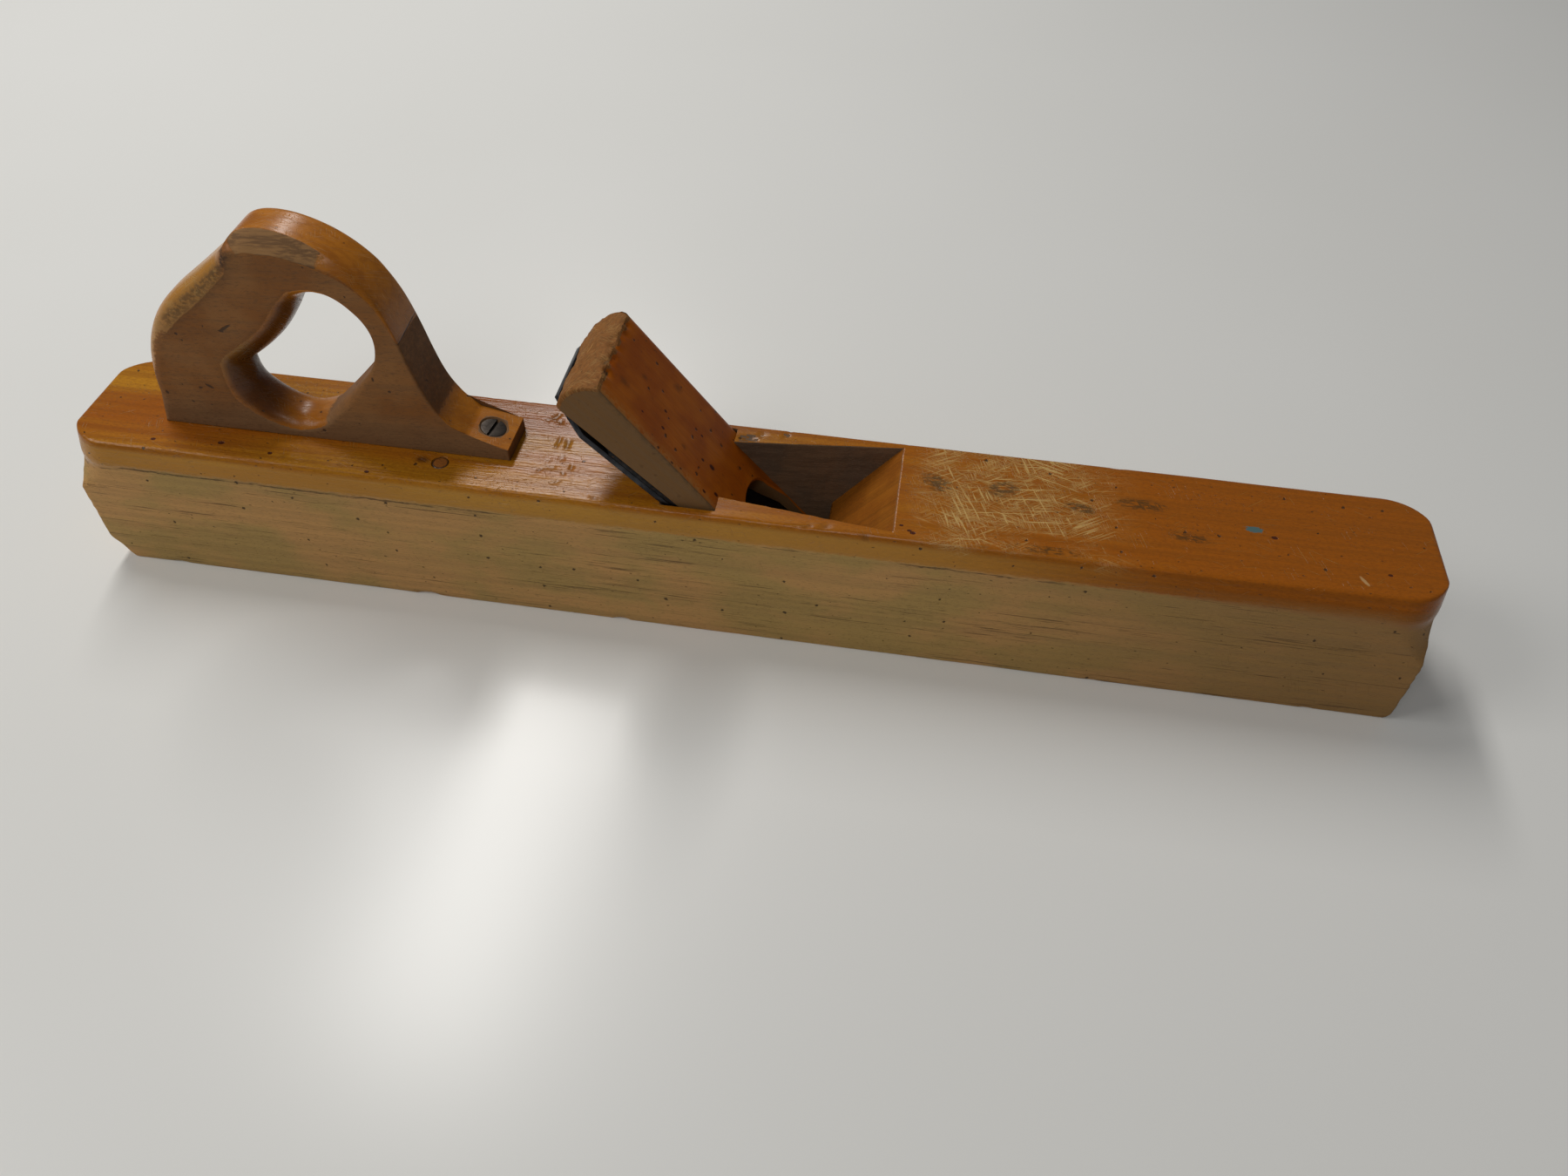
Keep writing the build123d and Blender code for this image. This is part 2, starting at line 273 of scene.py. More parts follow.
def divided(corners: Array, steps: Sequence[int]) -> Array:
    """A closed outline with each side divided into the given number of steps.

    Args:
        corners: Corners in order.
        steps: Steps on the side that follows each corner.

    Returns:
        Points round the outline.
    """
    following = np.roll(corners, -1, axis=0)
    runs = [a + np.arange(n)[:, None] / n * (b - a) for a, b, n in zip(corners, following, steps)]
    return np.concatenate(runs)


# --- Meshes ---------------------------------------------------------------------------


def ring_faces(rings: int, around: int, closed: bool = False) -> Array:
    """Four-sided faces between rings of points that follow each other.

    Args:
        rings: Number of rings.
        around: Points in each ring.
        closed: True if the last ring joins the first.

    Returns:
        Point numbers of each face.
    """
    i = np.arange(rings if closed else rings - 1)[:, None]
    j = np.arange(around)[None, :]
    a, b = i * around + j, i * around + (j + 1) % around
    step = (i + 1) % rings
    c, d = step * around + (j + 1) % around, step * around + j
    return np.stack([a, b, c, d], axis=-1).reshape(-1, 4)


def sleeve(rings: Array, cap_steps: int = 1) -> tuple[Array, list[list[int]]]:
    """A closed solid from rings of points, with each end closed by shrinking copies of its last ring.

    Args:
        rings: Points of each ring, as ring, point, coordinate. They turn so that faces point outwards.
        cap_steps: Rings in each end cap, before its middle point.

    Returns:
        Points and faces.
    """
    count, around, _ = rings.shape
    shrink = (1.0 - np.arange(1, cap_steps) / cap_steps)[:, None, None]
    first_middle, last_middle = rings[0].mean(axis=0), rings[-1].mean(axis=0)
    first_cap = first_middle + (rings[0] - first_middle) * shrink[::-1]
    last_cap = last_middle + (rings[-1] - last_middle) * shrink
    every = np.concatenate([first_cap, rings, last_cap])
    total = len(every)
    points = np.concatenate([every.reshape(-1, 3), first_middle[None], last_middle[None]])
    j = np.arange(around)
    last = (total - 1) * around
    start_fan = np.stack([np.full(around, total * around), (j + 1) % around, j], axis=-1)
    end_fan = np.stack([np.full(around, total * around + 1), last + j, last + (j + 1) % around], axis=-1)
    return points, ring_faces(total, around).tolist() + start_fan.tolist() + end_fan.tolist()


def new_piece(name: str, points: Array, faces: Sequence[Sequence[int]]) -> bpy.types.Object:
    """A mesh object at the origin, from points in millimetres.

    Args:
        name: Its name.
        points: Points in millimetres.
        faces: Point numbers of each face.

    Returns:
        The piece.
    """
    mesh = bpy.data.meshes.new(name)
    mesh.from_pydata((points * MM).tolist(), [], list(map(list, faces)))
    mesh.validate()
    piece = bpy.data.objects.new(name, mesh)
    bpy.context.scene.collection.objects.link(piece)
    return piece


def block(
    name: str, box: Sequence[float], levels: Sequence[float], steps: tuple[int, int]
) -> bpy.types.Object:
    """An upright rectangular block with divided sides.

    Args:
        name: Its name.
        box: Lowest X, highest X, lowest Y and highest Y.
        levels: Heights of its foot and its top.
        steps: Steps along X and along Y.

    Returns:
        The block.
    """
    x0, x1, y0, y1 = box
    flat = divided(np.array([(x0, y0), (x1, y0), (x1, y1), (x0, y1)]), (*steps, *steps))
    return new_piece(name, *sleeve(np.stack([raised(flat, z) for z in levels])))


def applied(piece: bpy.types.Object) -> bpy.types.Object:
    """The piece with its modifiers worked into its mesh.

    Args:
        piece: A piece with modifiers.

    Returns:
        The same piece.
    """
    bpy.context.view_layer.update()
    depsgraph = bpy.context.evaluated_depsgraph_get()
    mesh = bpy.data.meshes.new_from_object(piece.evaluated_get(depsgraph), depsgraph=depsgraph)
    old = piece.data
    piece.modifiers.clear()
    piece.data = mesh
    mesh.name = old.name
    bpy.data.meshes.remove(old)
    return piece


def combine(piece: bpy.types.Object, tool: bpy.types.Object, operation: str = "DIFFERENCE") -> None:
    """Cuts a tool out of a piece, or joins it on, and removes the tool.

    Args:
        piece: The piece to change.
        tool: The shape to cut or join.
        operation: DIFFERENCE cuts and UNION joins.
    """
    step = piece.modifiers.new("combine", "BOOLEAN")
    step.operation, step.solver, step.object = operation, "EXACT", tool
    applied(piece)
    bpy.data.objects.remove(tool)


def solid_copy(node: str, name: str, arris: float) -> bpy.types.Object:
    """A CAD node's shape as a new piece with its doubles merged and its arrises eased by a bevel.

    Args:
        node: The CAD node's name.
        name: The new piece's name.
        arris: Width of the bevel.

    Returns:
        The piece.
    """
    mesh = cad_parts[node].data.copy()
    mesh.materials.clear()
    piece = bpy.data.objects.new(name, mesh)
    bpy.context.scene.collection.objects.link(piece)
    weld = piece.modifiers.new("weld", "WELD")
    weld.merge_threshold = 0.001 * MM
    ease = piece.modifiers.new("ease", "BEVEL")
    ease.width, ease.segments, ease.limit_method, ease.angle_limit = arris * MM, 2, "ANGLE", math.radians(35)
    ease.use_clamp_overlap = True
    return applied(piece)


def shade(piece: bpy.types.Object, angle: float) -> None:
    """Smooth shading, with edges sharper than an angle in degrees kept sharp.

    Args:
        piece: The piece.
        angle: The angle.
    """
    mesh = piece.data
    mesh.polygons.foreach_set("use_smooth", np.ones(len(mesh.polygons), bool))
    mesh.set_sharp_from_angle(angle=math.radians(angle))


def paint(piece: bpy.types.Object, name: str, values: Array) -> None:
    """Stores one number for each point under a name that materials can read."""
    layer = piece.data.attributes.new(name, "FLOAT", "POINT")
    layer.data.foreach_set("value", np.asarray(values, np.float32).ravel())


def points_of(piece: bpy.types.Object) -> Array:
    """The piece's points in millimetres.

    Args:
        piece: The piece.

    Returns:
        One row for each point.
    """
    values = np.empty(len(piece.data.vertices) * 3, np.float32)
    piece.data.vertices.foreach_get("co", values)
    return values.reshape(-1, 3).astype(float) / MM


def faces_of(piece: bpy.types.Object) -> tuple[Array, Array]:
    """Middles, in millimetres, and normals of the piece's faces.

    Args:
        piece: The piece.

    Returns:
        Middles and normals, one row for each face.
    """
    count = len(piece.data.polygons)
    middles, normals = np.empty(count * 3, np.float32), np.empty(count * 3, np.float32)
    piece.data.polygons.foreach_get("center", middles)
    piece.data.polygons.foreach_get("normal", normals)
    return middles.reshape(-1, 3).astype(float) / MM, normals.reshape(-1, 3).astype(float)


def finish_piece(piece: bpy.types.Object, body: str, nodes: Sequence[str]) -> None:
    """Lets a piece ride on a body and stand for CAD nodes, and logs its face count.

    Args:
        piece: The piece.
        body: Body that it rides on.
        nodes: CAD nodes that it stands for.
    """
    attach(piece, body)
    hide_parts(*nodes)
    count = len(piece.data.polygons)
    LOG.info("%s: %d faces, stands for %s on %s", piece.name, count, ", ".join(nodes), body)


# --- Node wiring ----------------------------------------------------------------------


class Wiring:
    """Adds nodes to one node tree, so that a finish reads as a list of steps."""

    def __init__(self, tree: bpy.types.NodeTree) -> None:
        """Works on the given tree."""
        self.tree = tree

    def node(self, kind: str, inputs: dict | None = None, **settings: object) -> bpy.types.Node:
        """Adds a node.

        Args:
            kind: Its type name.
            inputs: Values or sockets for its inputs, by name or number.
            **settings: Properties of the node.

        Returns:
            The node.
        """
        made = self.tree.nodes.new(kind)
        for key, value in settings.items():
            setattr(made, key, value)
        self.fill(made, inputs or {})
        return made

    def fill(self, node: bpy.types.Node, inputs: dict) -> None:
        """Links or sets a node's inputs.

        Args:
            node: The node.
            inputs: Values or sockets, by name or number.
        """
        for key, value in inputs.items():
            if isinstance(value, bpy.types.NodeSocket):
                self.tree.links.new(value, node.inputs[key])
            else:
                node.inputs[key].default_value = value

    def calc(self, operation: str, *values: object, clamp: bool = False) -> Socket:
        """A Math node's result.

        Args:
            operation: The node's operation.
            *values: Its inputs, as numbers or sockets.
            clamp: True to keep the result from 0 to 1.

        Returns:
            The result.
        """
        return self.node(
            "ShaderNodeMath", dict(enumerate(values)), operation=operation, use_clamp=clamp
        ).outputs[0]

    def times(self, a: object, b: object, clamp: bool = False) -> Socket:
        """The product of two numbers."""
        return self.calc("MULTIPLY", a, b, clamp=clamp)

    def plus(self, a: object, b: object) -> Socket:
        """The sum of two numbers."""
        return self.calc("ADD", a, b)

    def less(self, a: object, b: object, clamp: bool = False) -> Socket:
        """The first number less the second."""
        return self.calc("SUBTRACT", a, b, clamp=clamp)

    def larger(self, a: object, b: object) -> Socket:
        """The larger of two numbers."""
        return self.calc("MAXIMUM", a, b)

    def swing(self, noise: Socket, size: float) -> Socket:
        """A noise moved to lie about 0 and scaled."""
        return self.times(self.less(noise, 0.5), size)

    def over(self, base: object, mask: object, share: float, colour: object) -> Socket:
        """A base colour with another laid over it where a mask shows it, up to a share."""
        return self.mix(self.times(mask, share), base, colour)

    def sunk(self, height: Socket, mask: object, share: float) -> Socket:
        """A height lowered where a mask shows it."""
        return self.less(height, self.times(mask, share))

    def feed(self, node: bpy.types.Node, sockets: dict[str, Socket]) -> None:
        """Links sockets to a node's inputs by name."""
        for name, socket in sockets.items():
            self.tree.links.new(socket, node.inputs[name])

    def band(self, value: object, low: object, high: object) -> Socket:
        """Smooth step. Low may be above high.

        Args:
            value: A number or socket.
            low: Where the step is 0.
            high: Where the step is 1.

        Returns:
            The step.
        """
        return self.node(
            "ShaderNodeMapRange",
            {"Value": value, "From Min": low, "From Max": high},
            interpolation_type="SMOOTHSTEP",
        ).outputs[0]

    def span(self, value: object, low: float, high: float) -> Socket:
        """A value from 0 to 1 carried to low to high."""
        return self.node("ShaderNodeMapRange", {"Value": value, "To Min": low, "To Max": high}).outputs[0]

    def mix(self, factor: object, a: object, b: object) -> Socket:
        """Mixes two colours."""
        first, second = (v if isinstance(v, bpy.types.NodeSocket) else (*v, 1.0) for v in (a, b))
        return self.node("ShaderNodeMix", {0: factor, 6: first, 7: second}, data_type="RGBA").outputs[2]

    def either(self, factor: object, a: object, b: object) -> Socket:
        """Mixes two numbers."""
        return self.node("ShaderNodeMix", {0: factor, 2: a, 3: b}, data_type="FLOAT").outputs[0]

    def scaled(self, vector: Socket, scale: Sequence[float], turn: Sequence[float] = (0, 0, 0)) -> Socket:
        """Turns a vector by angles in degrees, after which each axis is scaled.

        Args:
            vector: The vector.
            scale: Factor of each axis.
            turn: Turn about X, Y and Z.

        Returns:
            The scaled vector.
        """
        turned = vector
        if any(turn):
            turned = self.node(
                "ShaderNodeVectorRotate",
                {"Vector": vector, "Rotation": [math.radians(a) for a in turn]},
                rotation_type="EULER_XYZ",
            ).outputs[0]
        return self.vector("MULTIPLY", turned, tuple(scale))

    def vector(self, operation: str, *values: object) -> Socket:
        """A Vector Math node's result."""
        return self.node("ShaderNodeVectorMath", dict(enumerate(values)), operation=operation).outputs[0]

    def noise(
        self, vector: Socket, detail: float = 2.0, rough: float = 0.5, distortion: float = 0.0
    ) -> Socket:
        """Noise with a scale of 1.

        Args:
            vector: Where to read the noise.
            detail: Number of finer layers.
            rough: Strength of each finer layer.
            distortion: How far the noise is warped.

        Returns:
            The noise, about 0 to 1.
        """
        return self.node(
            "ShaderNodeTexNoise",
            {"Vector": vector, "Scale": 1.0, "Detail": detail, "Roughness": rough, "Distortion": distortion},
        ).outputs[0]

    def attribute(self, name: str) -> Socket:
        """A number stored on the mesh."""
        return self.node("ShaderNodeAttribute", attribute_name=name).outputs["Fac"]

    def place(self) -> Socket:
        """Object coordinates in millimetres."""
        coordinate = self.node("ShaderNodeTexCoord").outputs["Object"]
        return self.scaled(coordinate, (1 / MM,) * 3)

    def use(self, group: bpy.types.NodeTree, inputs: dict) -> bpy.types.Node:
        """Places a node group.

        Args:
            group: The group.
            inputs: Values or sockets, by name.

        Returns:
            The placed node.
        """
        made = self.node("ShaderNodeGroup")
        made.node_tree = group
        self.fill(made, inputs)
        return made

    def spot(
        self,
        place: Socket,
        centre: Sequence[float],
        size: Sequence[float],
        wander: object = 0.0,
        turn: Sequence[float] = (0, 0, 0),
        soft: float = 0.25,
    ) -> Socket:
        """1 inside an ellipsoid, fading to 0 at its edge.

        Args:
            place: Where the surface is.
            centre: Middle of the ellipsoid.
            size: Its half axes.
            wander: A number that moves the edge.
            turn: Turn of the ellipsoid, in degrees.
            soft: Share of the size over which it fades.

        Returns:
            The mask.
        """
        moved = self.vector("SUBTRACT", place, tuple(centre))
        shaped = self.scaled(moved, [1.0 / s for s in size], turn)
        reach = self.node("ShaderNodeVectorMath", {0: shaped}, operation="LENGTH").outputs["Value"]
        return self.band(self.plus(reach, wander), 1.0, 1.0 - soft)

    def mask(self, group: bpy.types.NodeTree, **inputs: object) -> Socket:
        """Places a node group and gives its mask."""
        return self.use(group, inputs).outputs["Mask"]

    def flat(self, place: Socket) -> Socket:
        """X and Y + Z of a place, which lays a flat pattern on the top and the sides alike."""
        x, y, z = self.node("ShaderNodeSeparateXYZ", {0: place}).outputs
        return self.node("ShaderNodeCombineXYZ", {0: x, 1: self.plus(y, z)}).outputs[0]

    def most(self, masks: Sequence[Socket]) -> Socket:
        """The largest of some masks.

        Args:
            masks: One mask or more.

        Returns:
            Their maximum.
        """
        total = masks[0]
        for mask in masks[1:]:
            total = self.larger(total, mask)
        return total

    def bump(self, height: Socket, depth: float) -> Socket:
        """A normal from a height of 0 to 1 that stands for a depth in millimetres."""
        inputs = {"Height": height, "Distance": depth * MM, "Strength": 1.0}
        return self.node("ShaderNodeBump", inputs).outputs[0]


def new_group(
    name: str, inputs: dict[str, tuple[str, object]], outputs: Sequence[str]
) -> tuple[bpy.types.NodeTree, Wiring, dict[str, Socket], bpy.types.Node]:
    """An empty node group.

    Args:
        name: Its name.
        inputs: Socket kind and default of each input, by name.
        outputs: Names of the outputs, all of them numbers.

    Returns:
        The group, its wiring, its inputs by name and its output node.
    """
    group = bpy.data.node_groups.new(name, "ShaderNodeTree")
    for label, (kind, default) in inputs.items():
        socket = group.interface.new_socket(name=label, in_out="INPUT", socket_type=kind)
        if default is not None:
            socket.default_value = default
    for label in outputs:
        group.interface.new_socket(name=label, in_out="OUTPUT", socket_type="NodeSocketFloat")
    wiring = Wiring(group)
    entry = wiring.node("NodeGroupInput")
    leave = wiring.node("NodeGroupOutput")
    return group, wiring, {label: entry.outputs[label] for label in inputs}, leave


class Effects:
    """Surface effects that several finishes share, each built once as a node group."""

    def __init__(self) -> None:
        """Builds every group."""
        self.grain = self._grain()
        self.streaks = self._streaks()
        self.scratches = self._scratches()
        self.specks = self._specks()

    @staticmethod
    def _grain() -> bpy.types.NodeTree:
        """Beech grain along X: slow tone, growth lines, short flecks and a fibre height.

        Returns:
            The group.
        """
        group, w, given, leave = new_group(
            "grain", {"Place": ("NodeSocketVector", None)}, ("Tone", "Lines", "Fleck", "Height")
        )
        tone = w.noise(w.scaled(given["Place"], (1 / 190, 1 / 19, 1 / 19)), 3.0, 0.55)
        lines = w.noise(w.scaled(given["Place"], (1 / 240, 1 / 2.6, 1 / 2.6)), 3.0, 0.6, 0.25)
        fibre = w.noise(w.scaled(given["Place"], (1 / 13, 1 / 1.05, 1 / 1.05)), 2.0, 0.6)
        fleck = w.noise(w.scaled(given["Place"], (1 / 2.6, 1 / 0.5, 1 / 0.5)), 1.0, 0.5)
        w.feed(leave, {
            "Tone": tone,
            "Lines": w.band(lines, 0.38, 0.66),
            "Fleck": w.band(fleck, 0.56, 0.68),
            "Height": w.plus(w.times(lines, 0.55), w.times(fibre, 0.45)),
        })
        return group

    @staticmethod
    def _streaks() -> bpy.types.NodeTree:
        """Long thin dark streaks along X, where a slow noise lets them show.

        Returns:
            The group.
        """
        group, w, given, leave = new_group(
            "streaks",
            {"Place": ("NodeSocketVector", None), "Amount": ("NodeSocketFloat", 0.5)},
            ("Mask",),
        )
        thin = w.noise(w.scaled(given["Place"], (1 / 34, 1 / 0.75, 1 / 0.75)), 2.0, 0.55)
        patch = w.noise(w.scaled(given["Place"], (1 / 75, 1 / 9, 1 / 9)), 2.0, 0.5)
        limit = w.less(0.76, w.times(given["Amount"], 0.2))
        level = w.plus(thin, w.swing(patch, 0.6))
        shown = w.band(level, limit, w.plus(limit, 0.07))
        w.feed(leave, {"Mask": shown})
        return group

    @staticmethod
    def _scratches() -> bpy.types.NodeTree:
        """Fine straight scratches in four directions, broken up by a slow noise.

        Returns:
            The group.
        """
        group, w, given, leave = new_group(
            "scratches",
            {"Place": ("NodeSocketVector", None), "Amount": ("NodeSocketFloat", 0.5)},
            ("Mask",),
        )
        flat = w.flat(given["Place"])
        masks = []
        for index, (turn, long) in enumerate(((24.0, 19.0), (-38.0, 14.0), (71.0, 11.0), (-8.0, 24.0))):
            moved = w.vector("ADD", flat, (37.0 * index, 11.0, 0.0))
            line = w.noise(w.scaled(moved, (1 / long, 1 / 0.75, 1.0), (0, 0, turn)), 1.0, 0.4)
            patch = w.noise(w.scaled(moved, (1 / 17, 1 / 17, 1.0)), 1.0, 0.5)
            limit = w.less(0.80, w.times(given["Amount"], 0.2))
            level = w.plus(line, w.swing(patch, 0.5))
            masks.append(w.band(level, limit, w.plus(limit, 0.06)))
        w.feed(leave, {"Mask": w.most(masks)})
        return group

    @staticmethod
    def _specks() -> bpy.types.NodeTree:
        """Dark specks and pits: the middles of a few cells, uneven in size.

        Returns:
            The group.
        """
        group, w, given, leave = new_group(
            "specks",
            {
                "Place": ("NodeSocketVector", None),
                "Spacing": ("NodeSocketFloat", 9.0),
                "Radius": ("NodeSocketFloat", 0.09),
                "Share": ("NodeSocketFloat", 0.4),
            },
            ("Mask",),
        )
        wavy = w.node(
            "ShaderNodeTexNoise", {"Vector": given["Place"], "Scale": 0.9, "Detail": 2.0}
        ).outputs["Color"]
        shifted = w.vector("MULTIPLY_ADD", wavy, (1.6, 1.6, 1.6), w.flat(given["Place"]))
        scale = w.calc("DIVIDE", 1.0, given["Spacing"])
        cells = w.node(
            "ShaderNodeTexVoronoi",
            {"Vector": shifted, "Scale": scale, "Randomness": 1.0},
            voronoi_dimensions="2D",
        )
        parts = w.node("ShaderNodeSeparateColor", {0: cells.outputs["Color"]}).outputs
        size = w.times(given["Radius"], w.span(parts[1], 0.4, 1.4))
        dot = w.band(cells.outputs["Distance"], size, w.times(size, 0.55))
        kept = w.calc("LESS_THAN", parts[0], given["Share"])
        w.feed(leave, {"Mask": w.times(dot, kept)})
        return group


EFFECTS = Effects()


def new_material(name: str) -> tuple[bpy.types.Material, Wiring, bpy.types.Node]:
    """A material with an empty Principled shader.

    Args:
        name: Its name.

    Returns:
        The material, its wiring and its shader node.
    """
    material = bpy.data.materials.new(name)
    material.use_nodes = True
    return material, Wiring(material.node_tree), material.node_tree.nodes["Principled BSDF"]


# --- Finishes -------------------------------------------------------------------------


class Grain(Enum):
    """How the wood's fibres lie, as the turn that brings them onto X, in degrees."""

    LENGTHWISE = (0.0, 0.0, 0.0)
    UP_THE_BED = (0.0, 135.0, 0.0)
    DOWN_THE_BREAST = (0.0, 49.0, 0.0)


@dataclass(frozen=True)
class StockFinish:
    """Beech with amber varnish on the top and chamfers, and bare grey-brown wood on the sides."""

    heel_colour: Colour = (0.47, 0.20, 0.010)
    toe_colour: Colour = (0.34, 0.094, 0.004)
    chamfer_colour: Colour = (0.50, 0.27, 0.06)
    worn_colour: Colour = (0.35, 0.155, 0.024)
    scratch_colour: Colour = (0.62, 0.42, 0.15)
    bare_colour: Colour = (0.545, 0.295, 0.10)
    bare_grey: Colour = (0.43, 0.275, 0.085)
    bare_brown: Colour = (0.29, 0.15, 0.045)
    dark: Colour = (0.05, 0.026, 0.010)
    gloss: float = 0.30
    fleck_blue: Colour = (0.06, 0.15, 0.16)

    def material(self) -> bpy.types.Material:
        """The finish as a material that reads heights and places in the frame.

        Returns:
            The material.
        """
        material, w, shader = new_material("varnished_beech_stock")
        place = w.place()
        x, y, z = w.node("ShaderNodeSeparateXYZ", {0: place}).outputs
        speckle = w.noise(w.scaled(place, (1 / 2.0, 1 / 1.1, 1 / 1.1)), 3.0, 0.65)
        wander = w.swing(speckle, 1.5)

        # The grain bends round the knot by the plug.
        around = w.spot(place, (-146.0, -18.2, 77.0), (19.0, 12.0, 14.0), 0.0, soft=1.0)
        bend = w.node(
            "ShaderNodeCombineXYZ",
            {1: w.times(w.times(w.plus(y, 18.2), around), -0.7)},
        ).outputs[0]
        bent = w.vector("ADD", place, bend)
        grain = w.use(EFFECTS.grain, {"Place": bent}).outputs
        slow = w.noise(w.scaled(place, (1 / 60, 1 / 30, 1 / 30)), 3.0, 0.6)
        quick = w.noise(w.scaled(place, (1 / 5, 1 / 1.6, 1 / 1.6)), 3.0, 0.6)

        # Varnish reaches down to the lower arris of the chamfer, a little further round the ends.
        end = w.band(w.calc("ABSOLUTE", x), 292.0, 320.0)
        soft = w.either(w.band(x, 180.0, 310.0), w.span(end, 0.7, 3.5), 5.0)
        line = w.less(66.4, w.times(end, 3.5))
        line = w.plus(line, w.swing(quick, 3.0))
        varnish = w.band(z, w.less(line, soft), w.plus(line, soft))

        # Worn patch in front of the throat, and light wear where hands pass.
        scratches = w.mask(EFFECTS.scratches, Place=place, Amount=0.30)
        fine = w.mask(EFFECTS.scratches, Place=w.scaled(place, (1.5, 1.5, 1.5)), Amount=0.95)
        patch = w.times(w.band(x, 80.0, 108.0), w.band(x, 196.0, 148.0))
        patch = w.times(patch, w.band(z, 70.0, 76.0))
        patch = w.times(patch, w.band(w.plus(slow, w.times(wander, 0.12)), 0.34, 0.50))
        scraped = w.times(patch, fine)
        rubbed = w.times(patch, w.band(quick, 0.40, 0.62))
        worn = w.larger(w.times(rubbed, 0.5), w.times(scratches, 0.45))

        # Colours of the varnished wood.
        reach = w.band(w.plus(x, w.swing(slow, 260.0)), -160.0, 240.0)
        amber = w.mix(reach, self.heel_colour, self.toe_colour)
        amber = w.mix(w.band(grain["Tone"], 0.36, 0.66), amber, self.toe_colour)
        amber = w.over(amber, grain["Lines"], 0.46, (0.24, 0.072, 0.005))
        amber = w.over(amber, w.band(speckle, 0.46, 0.60), 0.22, (0.16, 0.05, 0.004))
        amber = w.over(amber, grain["Fleck"], 0.30, (0.17, 0.045, 0.004))
        chamfer = w.times(w.band(z, 75.6, 73.0), w.band(x, 230.0, 60.0))
        amber = w.over(amber, chamfer, 0.6, self.chamfer_colour)
        amber = w.mix(worn, amber, self.worn_colour)
        deep = w.mask(EFFECTS.scratches, Place=w.scaled(place, (0.62, 0.72, 0.72)), Amount=0.66)
        scored = w.times(deep, patch)
        amber = w.over(amber, scraped, 0.42, self.scratch_colour)
        amber = w.over(amber, scored, 0.75, self.scratch_colour)
        smudge = w.most([
            w.spot(place, centre, size, wander, (0, 0, turn), 0.6)
            for centre, size, turn in (
                ((97.0, 7.0, 77.0), (11.0, 6.5, 4.0), 35.0), ((128.0, 8.0, 77.0), (10.0, 7.0, 4.0), -20.0),
                ((164.0, 1.0, 77.0), (10.0, 4.0, 4.0), 10.0), ((192.0, 8.0, 77.0), (15.0, 5.0, 4.0), 0.0),
                ((213.0, -10.0, 77.0), (12.0, 3.5, 4.0), 5.0), ((150.0, -29.0, 77.0), (20.0, 3.0, 4.0), 0.0),
            )
        ])
        smear = w.times(smudge, w.band(w.larger(quick, w.times(deep, 0.8)), 0.40, 0.56))
        amber = w.over(amber, smear, 0.80, (0.075, 0.038, 0.010))
        tired = w.times(w.band(z, 72.0, 69.0), w.band(x, 120.0, 290.0))
        amber = w.over(amber, tired, 0.5, (0.22, 0.105, 0.028))

        # Colours of the bare wood: warm tan with pinker and greener patches.
        bare = w.mix(w.band(slow, 0.38, 0.62), self.bare_colour, self.bare_grey)
        # Painted shade: the bare sides turn darker brown towards the toe, where less light falls on them.
        bare = w.over(bare, w.band(x, 60.0, 320.0), 0.85, self.bare_brown)
        bare = w.over(bare, grain["Lines"], 0.24, (0.22, 0.135, 0.055))
        bare = w.over(bare, grain["Fleck"], 0.30, (0.16, 0.095, 0.04))
        streaks = w.mask(EFFECTS.streaks, Place=w.scaled(place, (1.0, 1.5, 1.5)), Amount=0.48)
        under = w.times(w.times(w.band(z, 58.0, 64.5), w.band(x, 90.0, -60.0)), 0.62)
        low = w.times(w.band(z, 8.0, 1.0), w.span(w.band(x, 60.0, 150.0), 0.25, 0.75))
        upturned = w.scaled(place, (0.8, 1.25, 1.25), (180, 0, 0))
        edge = w.mask(EFFECTS.streaks, Place=upturned, Amount=w.plus(under, low))
        streak = w.larger(w.times(streaks, 0.75), edge)
        bare = w.over(bare, streak, 0.85, self.dark)
        colour = w.mix(varnish, bare, amber)

        # A thin dark line of old varnish along the lower arris of the chamfer.
        off = w.calc("ABSOLUTE", w.less(z, w.less(line, 0.9)))
        rim = w.times(w.band(off, 0.9, 0.2), w.band(grain["Height"], 0.46, 0.58))
        rim = w.times(rim, w.band(x, 230.0, 130.0))
        colour = w.over(colour, rim, 0.75, self.dark)

